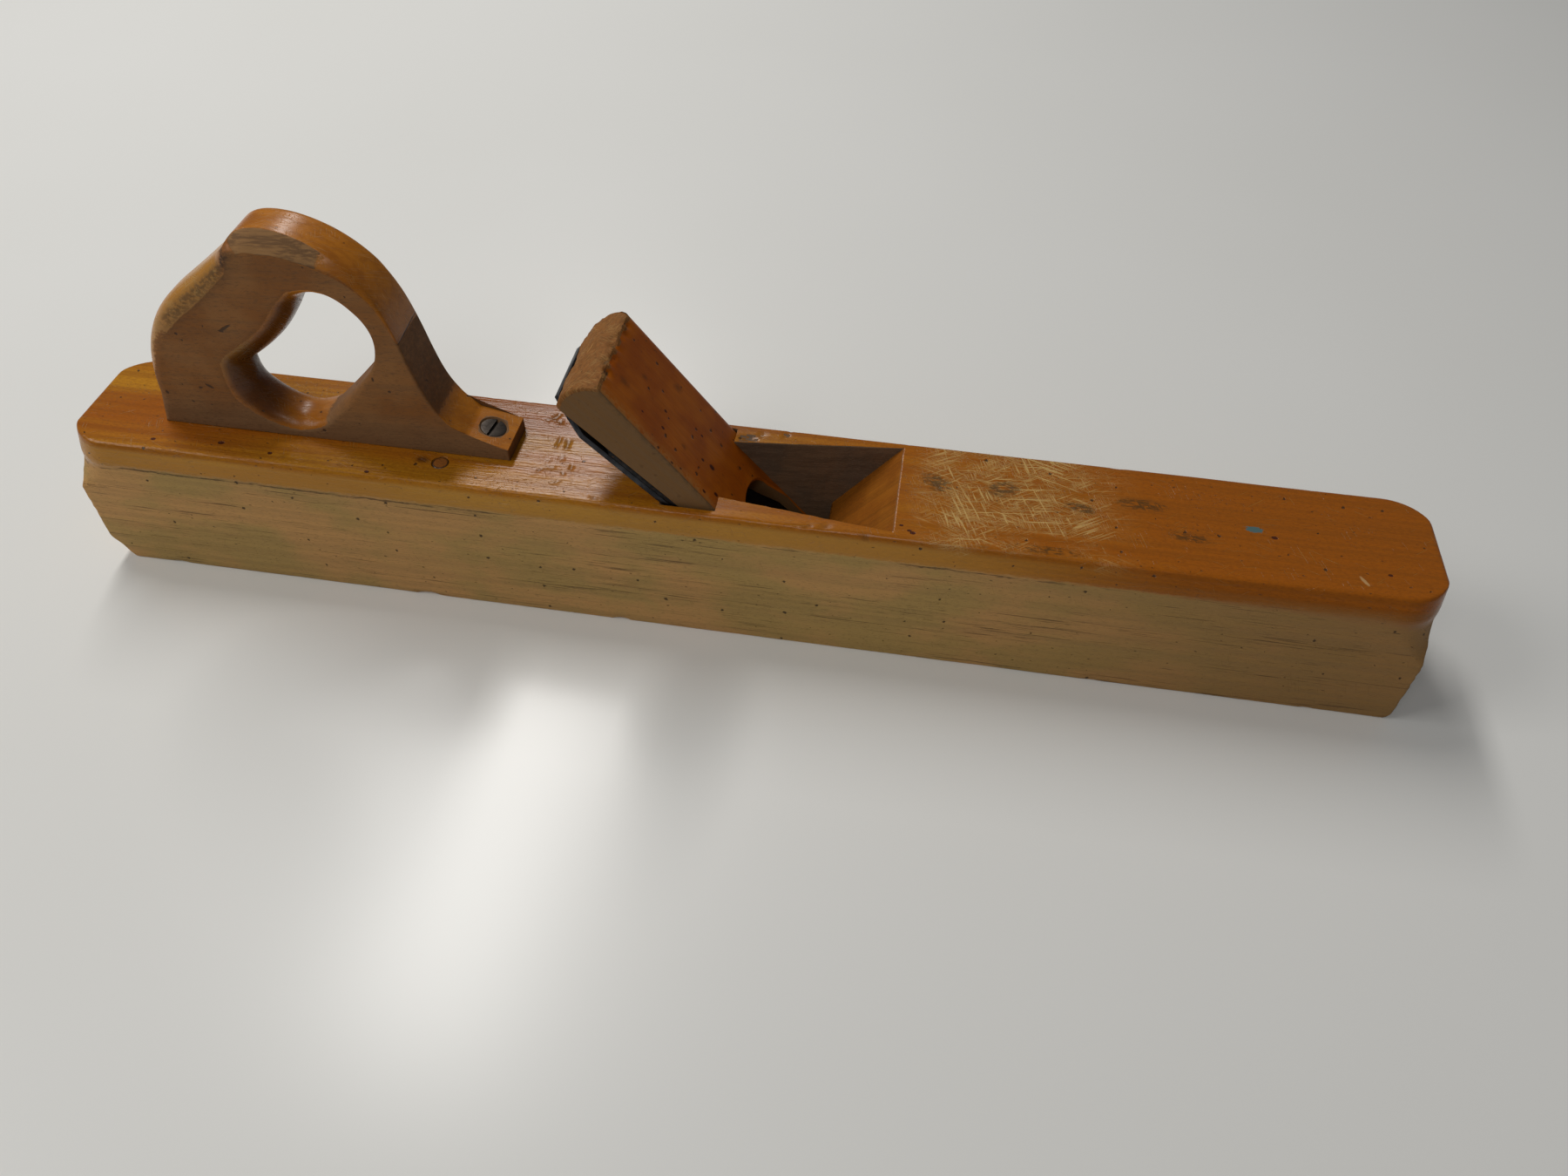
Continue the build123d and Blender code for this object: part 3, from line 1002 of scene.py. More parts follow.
        # Pits, bruises, the knot by the plug and a fleck of old paint.
        pits = w.mask(EFFECTS.specks, Place=place, Spacing=15.0, Radius=0.055, Share=0.34)
        closer = w.scaled(place, (1.0, 1.7, 1.7))
        dots = w.mask(EFFECTS.specks, Place=closer, Spacing=9.0, Radius=0.06, Share=0.22)
        pits = w.larger(pits, w.times(dots, 0.7))
        blots = w.times(w.band(speckle, 0.60, 0.70), w.band(slow, 0.5, 0.66))
        bruise = w.attribute("bruise")
        colour = w.mix(w.times(bruise, 0.6, clamp=True), colour, (0.15, 0.06, 0.012))
        colour = w.over(colour, blots, 0.40, (0.12, 0.05, 0.012))
        colour = w.over(colour, pits, 0.9, self.dark)
        knot = w.spot(place, (-147.4, -18.4, 77.0), (5.6, 3.6, 6.0), w.times(wander, 0.7), soft=0.9)
        colour = w.over(colour, knot, 0.85, (0.085, 0.026, 0.005))
        paint_fleck = w.spot(place, (242.4, 0.4, 77.0), (4.4, 2.2, 3.0), wander)
        colour = w.over(colour, paint_fleck, 0.9, self.fleck_blue)
        holes = w.most([
            w.spot(place, (cx, cy, 77.0), (r * 1.5, r, 2.0), w.times(wander, 0.35))
            for cx, cy, r in (
                (82.7, -24.1, 0.7), (88.2, -28.2, 1.0), (86.6, -27.0, 0.8), (251.0, -3.5, 1.1),
                (-280.4, -26.3, 1.0), (-247.1, -23.1, 1.2), (-220.7, -26.3, 0.9), (-170.2, -31.0, 0.9),
                (299.0, -19.0, 0.8),
            )
        ])
        colour = w.mix(holes, colour, (0.075, 0.018, 0.007))
        nail = w.spot(place, (287.0, -24.5, 77.0), (4.0, 1.1, 3.0), w.times(wander, 0.5), (0, 0, 60), 0.5)
        colour = w.over(colour, nail, 0.7, (0.55, 0.36, 0.16))

        sheen = w.span(w.larger(worn, w.times(slow, 0.35)), 0.17, 0.55)
        rough = w.either(varnish, w.span(grain["Tone"], 0.6, 0.85), sheen)
        height = w.times(grain["Height"], w.either(varnish, 0.9, w.span(w.band(x, -40.0, 30.0), 1.7, 0.75)))
        height = w.less(height, w.times(streak, w.either(varnish, 0.3, 0.0)))
        height = w.sunk(height, w.most([pits, holes]), 0.7)
        height = w.sunk(height, w.larger(scratches, scraped), 0.22)
        height = w.sunk(height, blots, 0.25)
        normal = w.bump(height, 0.34)
        w.feed(shader, {"Base Color": colour, "Roughness": rough, "Normal": normal})
        shader.inputs["Specular IOR Level"].default_value = self.gloss
        return material


@dataclass(frozen=True)
class RoughBeech:
    """Beech as the saw and chisel left it, in colours darker than the outside of the stock."""

    name: str
    colour: Colour
    grey: Colour
    grain: Grain
    gloss: float = 0.0

    def material(self) -> bpy.types.Material:
        """The finish as a material.

        Returns:
            The material.
        """
        material, w, shader = new_material(self.name)
        place = w.place()
        along = w.scaled(place, (1, 1, 1), self.grain.value)
        grain = w.use(EFFECTS.grain, {"Place": along}).outputs
        fuzz = w.noise(w.scaled(along, (1 / 2.2, 1 / 0.7, 1 / 0.7)), 3.0, 0.7)
        slow = w.noise(w.scaled(place, (1 / 16,) * 3), 2.0, 0.5)
        colour = w.mix(w.band(slow, 0.35, 0.65), self.colour, self.grey)
        colour = w.over(colour, grain["Lines"], 0.4, tuple(0.4 * c for c in self.colour))
        colour = w.over(colour, w.band(fuzz, 0.5, 0.7), 0.4, tuple(1.6 * c for c in self.grey))
        height = w.plus(w.times(fuzz, 0.6), w.times(grain["Height"], 0.6))
        w.feed(shader, {
            "Base Color": colour,
            "Roughness": w.span(grain["Tone"], 0.9 - 0.5 * self.gloss, 0.75 - 0.5 * self.gloss),
            "Normal": w.bump(height, 0.4 - 0.3 * self.gloss),
        })
        shader.inputs["Specular IOR Level"].default_value = 0.2
        return material


@dataclass(frozen=True)
class HandleFinish:
    """Worn beech: bare mauve-brown sides, varnish left on the edges, dark dirt on the edges and in the notch,
    and painted shade deep in the finger hole.

    It reads the numbers stored on the handle as varnish, facet, grime (dirt, and the painted shade on the
    hole's walls) and hollow (where the hole's painted shade is deepest).
    """

    side_colour: Colour = (0.227, 0.082, 0.014)
    side_light: Colour = (0.27, 0.115, 0.03)
    side_low: Colour = (0.21, 0.118, 0.055)
    varnish_colour: Colour = (0.52, 0.19, 0.014)
    palm_colour: Colour = (0.44, 0.21, 0.035)
    hole_shade_colour: Colour = (0.045, 0.011, 0.002)
    facet_colour: Colour = (0.33, 0.17, 0.06)
    dark: Colour = (0.045, 0.024, 0.012)

    def material(self) -> bpy.types.Material:
        """The finish as a material.

        Returns:
            The material.
        """
        material, w, shader = new_material("worn_beech_handle")
        place = w.place()
        x, y, z = w.node("ShaderNodeSeparateXYZ", {0: place}).outputs
        grain = w.use(EFFECTS.grain, {"Place": w.scaled(place, (1, 1, 1), (0, 4, 0))}).outputs
        quick = w.noise(w.scaled(place, (1 / 2.4, 1 / 2.4, 1 / 1.6)), 3.0, 0.65)
        slow = w.noise(w.scaled(place, (1 / 24,) * 3), 2.0, 0.5)
        stray = w.swing(quick, 1.3)
        ragged = w.swing(quick, 0.8)
        varnish = w.band(w.plus(w.attribute("varnish"), ragged), 0.38, 0.6)
        facet = w.band(w.plus(w.attribute("facet"), ragged), 0.4, 0.6)
        hollow = w.attribute("hollow")
        grime_and_shade = w.times(w.attribute("grime_and_shade"), w.span(w.band(quick, 0.35, 0.6), 0.4, 1.0))

        side = w.mix(w.band(slow, 0.35, 0.68), self.side_colour, self.side_light)
        side = w.over(side, w.band(z, 104.0, 80.0), 0.75, self.side_low)
        side = w.over(side, grain["Lines"], 0.30, (0.13, 0.066, 0.026))
        side = w.over(side, grain["Fleck"], 0.42, (0.09, 0.044, 0.018))
        glow = w.mix(w.span(grain["Tone"], 0.0, 0.7), self.varnish_colour, (0.38, 0.115, 0.008))
        glow = w.over(glow, w.band(slow, 0.46, 0.66), 0.45, (0.26, 0.075, 0.006))
        glow = w.over(glow, grain["Lines"], 0.3, (0.20, 0.052, 0.004))
        palm = w.times(w.band(x, -214.0, -226.0), w.band(z, 100.0, 125.0))
        scratch = w.mask(EFFECTS.scratches, Place=w.scaled(place, (1.6, 1.6, 1.6)), Amount=0.62)
        glow = w.over(glow, palm, 0.75, self.palm_colour)
        glow = w.mix(w.times(scratch, w.span(palm, 0.12, 0.5)), glow, (0.50, 0.33, 0.11))
        # Painted shade: deep in the finger hole the varnish turns near black.
        glow = w.mix(w.times(hollow, 0.85, clamp=True), glow, self.hole_shade_colour)
        colour = w.mix(varnish, side, glow)
        bare = w.over(self.facet_colour, w.band(grain["Height"], 0.44, 0.56), 0.75, (0.15, 0.075, 0.03))
        colour = w.mix(facet, colour, bare)
        specks = w.mask(EFFECTS.specks, Place=place, Spacing=12.0, Radius=0.05, Share=0.3)
        placed = w.most([
            w.spot(place, (mx, -12.4, mz), size, w.times(stray, 0.6), (0, turn, 0), 0.4)
            for mx, mz, size, turn in (
                (-228.5, 138.0, (4.6, 2.0, 0.8), 32.0), (-231.0, 136.0, (1.6, 2.0, 0.8), 0.0),
                (-254.2, 131.8, (0.9, 2.0, 0.9), 0.0), (-249.0, 102.3, (2.6, 2.0, 0.9), -30.0),
                (-254.0, 101.0, (1.2, 2.0, 0.7), 0.0), (-273.0, 95.8, (1.0, 2.0, 1.2), 0.0),
                (-157.7, 111.6, (0.9, 2.0, 0.8), 0.0), (-164.1, 117.7, (0.6, 2.0, 1.4), 0.0),
                (-197.6, 82.8, (1.2, 2.0, 0.9), 20.0), (-214.0, 128.0, (3.0, 2.0, 0.4), 15.0),
            )
        ])
        crack = w.spot(place, (-146.5, 0.0, 139.7), (8.5, 16.0, 0.42), w.times(stray, 0.3), (-4, 0, 0), 0.4)
        marks = w.most([specks, placed, crack])
        colour = w.over(colour, marks, 0.85, self.dark)
        # Dark dirt on the edges and in the notch, and painted shade on the finger hole's walls.
        colour = w.mix(w.times(grime_and_shade, 0.85, clamp=True), colour, self.dark)

        rough = w.either(varnish, w.span(quick, 0.6, 0.8), w.span(scratch, 0.26, 0.5))
        rough = w.either(facet, rough, 0.7)
        rough = w.either(w.times(grime_and_shade, w.less(1.0, hollow, clamp=True)), rough, 0.7)
        height = w.times(grain["Height"], w.span(facet, 0.55, 1.5))
        height = w.sunk(height, marks, 0.9)
        height = w.sunk(height, scratch, 0.2)
        normal = w.bump(height, 0.26)
        w.feed(shader, {"Base Color": colour, "Roughness": rough, "Normal": normal})
        shader.inputs["Specular IOR Level"].default_value = 0.3
        return material


@dataclass(frozen=True)
class WedgeFinish:
    """Varnished beech wedge: orange front, bare grey-brown sides, and a top end bruised by the mallet.

    It reads the numbers stored on the wedge as front and top.
    """

    front_colour: Colour = (0.42, 0.108, 0.003)
    front_dark: Colour = (0.32, 0.070, 0.002)
    side_colour: Colour = (0.19, 0.097, 0.035)
    top_colour: Colour = (0.27, 0.108, 0.027)
    dark: Colour = (0.05, 0.024, 0.010)

    def material(self) -> bpy.types.Material:
        """The finish as a material.

        Returns:
            The material.
        """
        material, w, shader = new_material("varnished_beech_wedge")
        place = w.place()
        y = w.node("ShaderNodeSeparateXYZ", {0: place}).outputs[1]
        along = w.scaled(place, (1, 1, 1), Grain.UP_THE_BED.value)
        grain = w.use(EFFECTS.grain, {"Place": along}).outputs
        quick = w.noise(w.scaled(place, (1 / 2.2,) * 3), 4.0, 0.65)
        slow = w.noise(w.scaled(place, (1 / 20,) * 3), 2.0, 0.5)
        ragged = w.swing(quick, 0.55)
        front = w.band(w.plus(w.attribute("front"), ragged), 0.38, 0.6)
        top = w.band(w.plus(w.attribute("top"), ragged), 0.4, 0.58)

        orange = w.mix(w.band(slow, 0.35, 0.66), self.front_colour, self.front_dark)
        orange = w.over(orange, grain["Lines"], 0.22, (0.17, 0.042, 0.005))
        side = w.mix(w.times(grain["Lines"], 0.3), self.side_colour, (0.17, 0.11, 0.06))
        side = w.over(side, grain["Fleck"], 0.25, (0.12, 0.07, 0.035))
        scars = w.mask(EFFECTS.scratches, Place=w.scaled(place, (1.3, 1.3, 1.3), (60, 45, 0)), Amount=0.85)
        fuzz = w.noise(w.scaled(along, (1 / 5.0, 1 / 3.0, 1 / 1.2)), 4.0, 0.65)
        end = w.mix(w.band(fuzz, 0.38, 0.64), self.top_colour, (0.20, 0.080, 0.021))
        end = w.over(end, scars, 0.35, (0.50, 0.29, 0.10))
        colour = w.mix(front, side, orange)
        colour = w.mix(top, colour, end)
        pits = w.mask(EFFECTS.specks, Place=along, Spacing=8.0, Radius=0.11, Share=0.24)
        pits = w.times(pits, w.span(front, 0.3, 1.0))
        smudge = w.times(w.band(quick, 0.58, 0.70), w.band(slow, 0.5, 0.62))
        pale = w.times(w.times(front, w.band(y, -21.0, -27.5)), w.band(quick, 0.36, 0.56))
        colour = w.over(colour, pale, 0.5, (0.42, 0.20, 0.05))
        colour = w.over(colour, smudge, 0.6, self.dark)
        colour = w.over(colour, pits, 0.85, self.dark)
        wounds = w.most([
            w.spot(place, BED.on_wedge(up, across), (r * 1.4, r, r * 1.4), w.times(ragged, 1.4), soft=0.5)
            for up, across, r in (
                (132.0, -13.5, 1.0), (133.6, -3.4, 0.9), (121.4, -26.6, 0.8), (115.9, -25.0, 0.7),
                (99.0, -7.4, 1.7), (92.2, -19.6, 1.3), (99.5, -24.3, 1.0), (105.3, -8.5, 1.0),
                (110.0, 4.0, 0.8), (145.0, -16.0, 0.7),
            )
        ])
        bruises = w.most([
            w.spot(place, BED.on_wedge(up, across), (r * 1.3, r, r * 1.3), w.times(ragged, 2.2), soft=0.9)
            for up, across, r in (
                (158.7, -10.3, 3.6), (131.6, 16.1, 3.2), (150.0, 3.0, 2.2), (118.0, -12.0, 2.0),
            )
        ])
        colour = w.over(colour, bruises, 0.55, (0.10, 0.030, 0.004))
        colour = w.over(colour, wounds, 0.95, (0.045, 0.008, 0.003))
        rim = w.attribute("rim")
        colour = w.mix(w.times(rim, w.span(w.band(quick, 0.4, 0.6), 0.1, 0.75)), colour, (0.10, 0.062, 0.03))

        rough = w.either(front, 0.68, w.span(slow, 0.28, 0.5))
        rough = w.either(top, rough, 0.72)
        height = w.times(grain["Height"], 0.4)
        height = w.sunk(height, w.times(scars, top), 0.4)
        height = w.plus(height, w.times(w.times(fuzz, top), 0.22))
        height = w.sunk(height, pits, 0.6)
        normal = w.bump(height, 0.34)
        w.feed(shader, {"Base Color": colour, "Roughness": rough, "Normal": normal})
        shader.inputs["Specular IOR Level"].default_value = 0.14
        return material


@dataclass(frozen=True)
class OldSteel:
    """Tool steel with a dark patina, grinding lines and a few rust freckles."""

    name: str
    colour: Colour
    patina: Colour
    rust: float = 0.2
    rough: tuple[float, float] = (0.28, 0.55)
    lines: Grain = Grain.UP_THE_BED

    def material(self) -> bpy.types.Material:
        """The finish as a material.

        Returns:
            The material.
        """
        material, w, shader = new_material(self.name)
        place = w.place()
        along = w.scaled(place, (1, 1, 1), self.lines.value)
        ground = w.noise(w.scaled(along, (1 / 30, 1 / 0.35, 1 / 0.35)), 2.0, 0.6)
        cloud = w.noise(w.scaled(place, (1 / 9,) * 3), 4.0, 0.65)
        freckle = w.noise(w.scaled(place, (1 / 1.6,) * 3), 3.0, 0.65)
        colour = w.mix(w.band(cloud, 0.38, 0.62), self.colour, self.patina)
        colour = w.over(colour, ground, 0.35, tuple(0.5 * c for c in self.patina))
        rust = w.times(w.band(freckle, 0.56, 0.68), w.band(cloud, 0.48, 0.62))
        rust = w.times(rust, self.rust)
        colour = w.mix(rust, colour, (0.17, 0.065, 0.022))
        rough = w.span(w.larger(cloud, rust), *self.rough)
        height = w.plus(w.times(ground, 0.5), w.times(freckle, 0.5))
        w.feed(shader, {
            "Base Color": colour,
            "Metallic": w.less(1.0, w.times(rust, 0.8), clamp=True),
            "Roughness": rough,
            "Normal": w.bump(height, 0.05),
        })
        return material


@dataclass(frozen=True)
class PlugFinish:
    """The end-grain plug beside the knot: varnished, with pores and a dark glue line at its edge."""

    colour: Colour = (0.36, 0.125, 0.015)
    centre: tuple[float, float] = (0.0, 0.0)
    radius: float = 4.0

    def material(self) -> bpy.types.Material:
        """The finish as a material.

        Returns:
            The material.
        """
        material, w, shader = new_material("plug_end_grain")
        place = w.place()
        pores = w.mask(EFFECTS.specks, Place=place, Spacing=0.8, Radius=0.3, Share=0.7)
        rings = w.noise(w.scaled(place, (1 / 0.9, 1 / 3.5, 1 / 9.0), (0, 0, 25)), 2.0, 0.5)
        colour = w.mix(rings, self.colour, (0.22, 0.065, 0.009))
        colour = w.over(colour, pores, 0.5, (0.07, 0.03, 0.01))
        inner = (self.radius * 0.93, self.radius * 0.93, 40.0)
        middle = w.spot(place, (*self.centre, 77.0), inner, 0.0)
        colour = w.mix(middle, (0.04, 0.018, 0.007), colour)
        w.feed(shader, {
            "Base Color": colour,
            "Roughness": w.span(rings, 0.3, 0.5),
            "Normal": w.bump(w.less(rings, pores), 0.08),
        })
        shader.inputs["Coat Weight"].default_value = 0.5
        shader.inputs["Coat Roughness"].default_value = 0.18
        return material


# --- The bed that every iron lies on ----------------------------------------------------


@dataclass(frozen=True)
class Bed:
    """The sloping bed and the slot for the wedge, shared by stock, irons and wedge."""

    foot: float = 48.0
    abutment_top: float = -3.3
    abutment_angle: float = 52.2
    height: float = 77.0
    gap: float = 0.1

    def abutment(self, z: Array) -> Array:
        """X of the front wall of the wedge slot at height z: a line at the abutment angle."""
        return self.abutment_top + (self.height - z) / math.tan(math.radians(self.abutment_angle))

    def wedge_front(self, up: Array) -> Array:
        """Distance out of the bed of the wedge's front, a line that rises with the wedge's taper.

        Args:
            up: Distance up the bed.

        Returns:
            Distance out of the bed.
        """
        top = self.abutment_top - self.gap * ROOT2
        out = (top - self.foot + self.height) / ROOT2
        level = (self.foot - top + self.height) / ROOT2
        return out + (up - level) * math.tan(math.radians(self.abutment_angle - 45.0))

    def in_frame(self, points: Array) -> Array:
        """Points in bed coordinates, turned into the frame."""
        return out_of_bed(points[..., 0], points[..., 1], points[..., 2], self.foot)

    def on_wedge(self, up: float, across: float) -> Array:
        """A point of the wedge's front in the frame, from its distances up and across the bed."""
        return out_of_bed(*np.array([up, across, self.wedge_front(up)]), self.foot)


BED = Bed()


# --- The stock ---------------------------------------------------------------------------


@dataclass
class Stock:
    """The long beech stock with its chamfers, rounded corners, throat, mouth and knot plug."""

    chamfer_in: float = 5.0
    chamfer_down: float = 10.3
    corner_radius: float = 21.0
    cove_top: float = 66.0
    cove_depth: float = 25.0
    cove_growth: float = 9.66
    cove_power: float = 1.79
    toe_cove_drop: float = 4.0
    heel_wear: Sequence[tuple[float, float]] = ((0.0, 14.0), (0.5, 11.9), (2.6, 8.3), (5.5, 5.4), (9.1, 0.0))
    toe_wear: Sequence[tuple[float, float]] = ((0.0, 4.0), (3.0, 0.0))
    pocket_half: float = 29.2
    cheek_half: tuple[float, float] = (19.5, 28.8)
    throat_front: float = 79.0
    throat_back: float = 6.0
    breast_knee: tuple[float, float] = (45.8, 38.4)
    mouth_front: float = 54.0
    relief_height: float = 20.0
    rim: float = 0.5
    plug_points: int = 48
    dents: Sequence[Dent] = (
        Dent(-94.5, 22.5, 4.2, 1.1, 0.55, 40.0),
        Dent(-91.5, 20.0, 3.4, 1.0, 0.45, -25.0),
        Dent(-87.2, 4.5, 4.2, 0.9, 0.45, 84.0),
        Dent(-82.3, 4.0, 3.6, 1.3, 0.45, 98.0),
        Dent(-90.0, -15.5, 2.2, 1.0, 0.4, 20.0),
        Dent(-85.8, -13.0, 2.8, 1.1, 0.45, -12.0),
        Dent(-80.5, -22.5, 2.4, 1.0, 0.4, 30.0),
        Dent(-76.0, -12.0, 2.0, 1.1, 0.4, 60.0),
        Dent(-82.5, -6.5, 1.7, 0.9, 0.3, 10.0),
        Dent(-88.0, -8.5, 1.3, 0.8, 0.3, 45.0),
        Dent(-93.5, -19.5, 1.8, 0.8, 0.3, 0.0),
        Dent(-79.0, -16.5, 1.5, 0.9, 0.35, -40.0),
        Dent(22.0, 30.0, 3.8, 0.9, 0.5, 65.0),
        Dent(3.2, 23.6, 4.6, 2.2, 0.7, 15.0),
        Dent(9.5, 27.0, 2.2, 1.2, 0.4, 50.0),
        Dent(40.2, -31.6, 2.4, 1.2, 0.4, 20.0),
        Dent(67.2, -33.0, 2.0, 1.1, 0.45, 0.0),
        Dent(-60.0, -30.5, 2.2, 1.0, 0.35, 0.0),
        Dent(48.0, -30.6, 3.0, 1.2, 0.35, 20.0),
        Dent(120.0, -31.0, 2.0, 1.0, 0.4, 0.0),
        Dent(131.0, -29.5, 1.2, 2.0, 0.3, 0.0),
        Dent(196.0, 12.0, 2.2, 1.4, 0.3, 20.0),
        Dent(287.0, -22.0, 2.6, 0.9, 0.35, 65.0),
        Dent(-244.0, -25.0, 1.1, 0.9, 0.35),
        Dent(-214.0, -27.0, 1.0, 0.8, 0.3),
        Dent(-185.0, -29.0, 1.2, 0.9, 0.35),
    )
    half_length: float = field(init=False)
    half_width: float = field(init=False)
    height: float = field(init=False)

    def __post_init__(self) -> None:
        """Takes the stock's length, width and height from its CAD node."""
        low, high = node_box("body")
        self.half_length = float(high[0] - low[0]) / 2
        self.half_width = float(high[1] - low[1]) / 2
        self.height = float(high[2])

    def section(self) -> Array:
        """Cross-section of the stock as Y, Z, counter-clockwise seen from the toe.

        Returns:
            Points round the section.
        """
        w, h = self.half_width, self.height
        corners = (
            (-w, 0.0), (w, 0.0), (w, h - self.chamfer_down), (w - self.chamfer_in, h),
            (self.chamfer_in - w, h), (-w, h - self.chamfer_down),
        )
        return rounded_polygon(corners, (0.9, 0.9, 6.0, 2.4, 2.4, 6.0), (5.0, 2.2, 1.3, 1.15, 1.3, 2.2), 7)

    def stations(self) -> Array:
        """X of each cross-section: close together at the ends, behind the throat and round it.

        Returns:
            X of each station, from heel to toe.
        """
        turn = np.radians(np.array([0, 8, 16, 24, 32, 40, 48, 56, 63, 69, 75, 80, 84, 87, 89, 90.0]))
        end = self.half_length - self.corner_radius * (1 - np.sin(turn))
        close = np.arange(-112.0, -34.0, 0.85)
        throat = np.arange(-34.0, 84.0, 1.5)
        rear = np.linspace(-end[0], close[0], 80)[:-1]
        front = np.linspace(throat[-1], end[0], 92)[1:-1]
        return np.concatenate([-end[::-1][:-1], rear, close[:-1], throat, front, end])

    def half_width_at(self, x: Array, z: Array) -> Array:
        """Half width where the corners turn in.

        The corner is a circle of radius r about an axis one corner radius in from the end and the
        side. Below the cove's top, r grows by a power of the depth below it, until the corner is square.

        Args:
            x: X of the places.
            z: Height of the places.

        Returns:
            Half width at each place.
        """
        drop = np.where(x > 0, self.toe_cove_drop, 0.0)
        below = np.clip((self.cove_top - drop - z) / self.cove_depth, 0.0, 1.6)
        radius = self.corner_radius + self.cove_growth * below**self.cove_power
        past = np.clip(np.abs(x) - (self.half_length - self.corner_radius), 0.0, self.corner_radius)
        axis = self.half_width - self.corner_radius
        turned = axis + np.sqrt(np.maximum(radius**2 - past**2, 0.0))
        nose = 1.6
        ease = np.clip(np.abs(x) - (self.half_length - nose), 0.0, nose)
        return np.minimum(self.half_width, turned) - (nose - np.sqrt(nose**2 - ease**2)) * rise(z, 60.0, 50.0)

    def bruise(self, points: Array) -> Array:
        """Depth of the dents at points of the top, with their outlines made uneven by a ripple.

        Args:
            points: Points in the frame.

        Returns:
            Depth at each point.
        """
        x = points[..., 0] + Ripple(3.1, 0.45, 13).at(points[..., :2])
        y = points[..., 1] + Ripple(3.1, 0.45, 14).at(points[..., :2])
        return sum(dent.depth_at(x, y) for dent in self.dents)

    def shell(self) -> Array:
        """The outside of the stock as one ring of points for each station.

        Each ring is the cross-section with Y scaled by the half width there. Its foot is lifted where
        the lower arris of an end is worn, and its top sinks by a small arc at the very ends. Ripples,
        nicks along the arrises and dents are added last.

        Returns:
            Points, as station, point, coordinate.
        """
        ring, x = self.section(), self.stations()[:, None]
        y0, z0 = ring[:, 0][None, :], ring[:, 1][None, :]
        z = np.broadcast_to(z0, (len(x), len(ring))).copy()
        y = y0 * self.half_width_at(x, z) / self.half_width
        past = self.half_length - np.abs(x)
        ragged = Ripple(9.0, 0.9, 11).at(np.stack(np.broadcast_arrays(y, z * 0.4), axis=-1))
        heel_lift = np.interp(past, *np.array(self.heel_wear).T) + ragged * rise(past, 9.0, 5.0)
        toe_lift = np.interp(past, *np.array(self.toe_wear).T) + 0.4 * ragged * rise(past, 3.5, 1.0)
        lift = np.clip(np.where(x < 0, heel_lift, toe_lift), 0.0, None)
        z += lift * (1 - z0 / self.height)
        tip = 2.2
        sink = tip - np.sqrt(np.maximum(tip**2 - np.clip(tip - past, 0.0, tip) ** 2, 0.0))
        z -= sink * rise(z0, 55.0, self.height)
        chip = Dent(-self.half_length + 2.0, -self.half_width, 5.0, 9.0, 3.4)
        z += chip.depth_at(x, y) * rise(z0, 9.0, 0.0)

        points = np.stack(np.broadcast_arrays(x, y, z), axis=-1)
        on_top, on_side = rise(z0, 76.0, 76.8), rise(np.abs(y0), 36.8, 37.4)
        waves = Ripple(70.0, 0.10, 3).at(points) + Ripple(7.0, 0.02, 4).at(points * (0.2, 1, 1))
        points[..., 2] += on_top * waves
        points[..., 1] -= np.sign(y0) * on_side * np.abs(Ripple(55.0, 0.12, 5).at(points))
        from_arris = np.abs(y0) - (self.half_width - self.chamfer_in)
        arris = np.exp(-((from_arris / 1.3) ** 2)) * rise(z0, 73.0, 76.0)
        nick = np.clip(Ripple(11.0, 1.0, 6).at(points) - 1.15, 0.0, 1.2) * 0.55
        nick += np.clip(Ripple(4.0, 1.0, 7).at(points) - 1.2, 0.0, 1.0) * 0.35
        points[..., 2] -= arris * nick
        points[..., 1] -= np.sign(y0) * arris * nick * 0.6
        foot = np.exp(-((z0 / 1.6) ** 2)) * rise(np.abs(y0), 35.0, 37.0)
        gap = np.clip(Ripple(18.0, 1.0, 8).at(points) - 0.9, 0.0, 1.4) * 0.8
        points[..., 2] += foot * gap
        points[..., 1] -= np.sign(y0) * foot * gap * 0.7
        points[..., 2] -= self.bruise(points) * rise(z0, 70.0, 76.0)
        end = rise(past, 2.0, 0.0) * rise(z0, 66.0, 40.0)
        points[..., 0] += np.sign(-x) * end * np.abs(Ripple(12.0, 0.5, 9).at(points))
        return points

    def breast(self, z: Array) -> Array:
        """X of the throat's front wall at height z: two lines that meet at the knee.

        Args:
            z: Height.

        Returns:
            X at that height.
        """
        knee_x, knee_z = self.breast_knee
        upper = knee_x + (self.throat_front - knee_x) * (z - knee_z) / (self.height - knee_z)
        lower = self.mouth_front + (knee_x - self.mouth_front) * z / knee_z
        return np.where(z < knee_z, lower, upper)

    def well(
        self, outline: Callable[[float], Array], steps: Sequence[int], levels: Array, rough: Ripple
    ) -> bpy.types.Object:
        """A tool that cuts a well down from the top face, with an eased rim.

        Each level is the well's outline at that height. Just below the top face it grows outwards by
        rim - sqrt(rim^2 - (rim - depth)^2), which rounds the rim, and the walls carry a ripple.

        Args:
            outline: Gives the corners at a height, counter-clockwise.
            steps: Steps that each side is divided into.
            levels: Heights of the rings below the rim.
            rough: Unevenness of the walls.

        Returns:
            The tool.
        """
        depth = self.rim * np.array([1.0, 0.6, 0.32, 0.12])
        heights = np.concatenate([levels, self.height - depth, [self.height + 1.0]])
        flare = self.rim - np.sqrt(self.rim**2 - (self.rim - depth) ** 2)
        growth = np.concatenate([np.zeros(len(levels)), flare, [1.6 * self.rim]])
        rings = []
        for z, by in zip(heights, growth):
            flat = divided(outline(z), steps)
            rings.append(raised(grown(flat, by + rough.at(raised(flat, z))), z))
        return new_piece("well_tool", *sleeve(np.array(rings)))

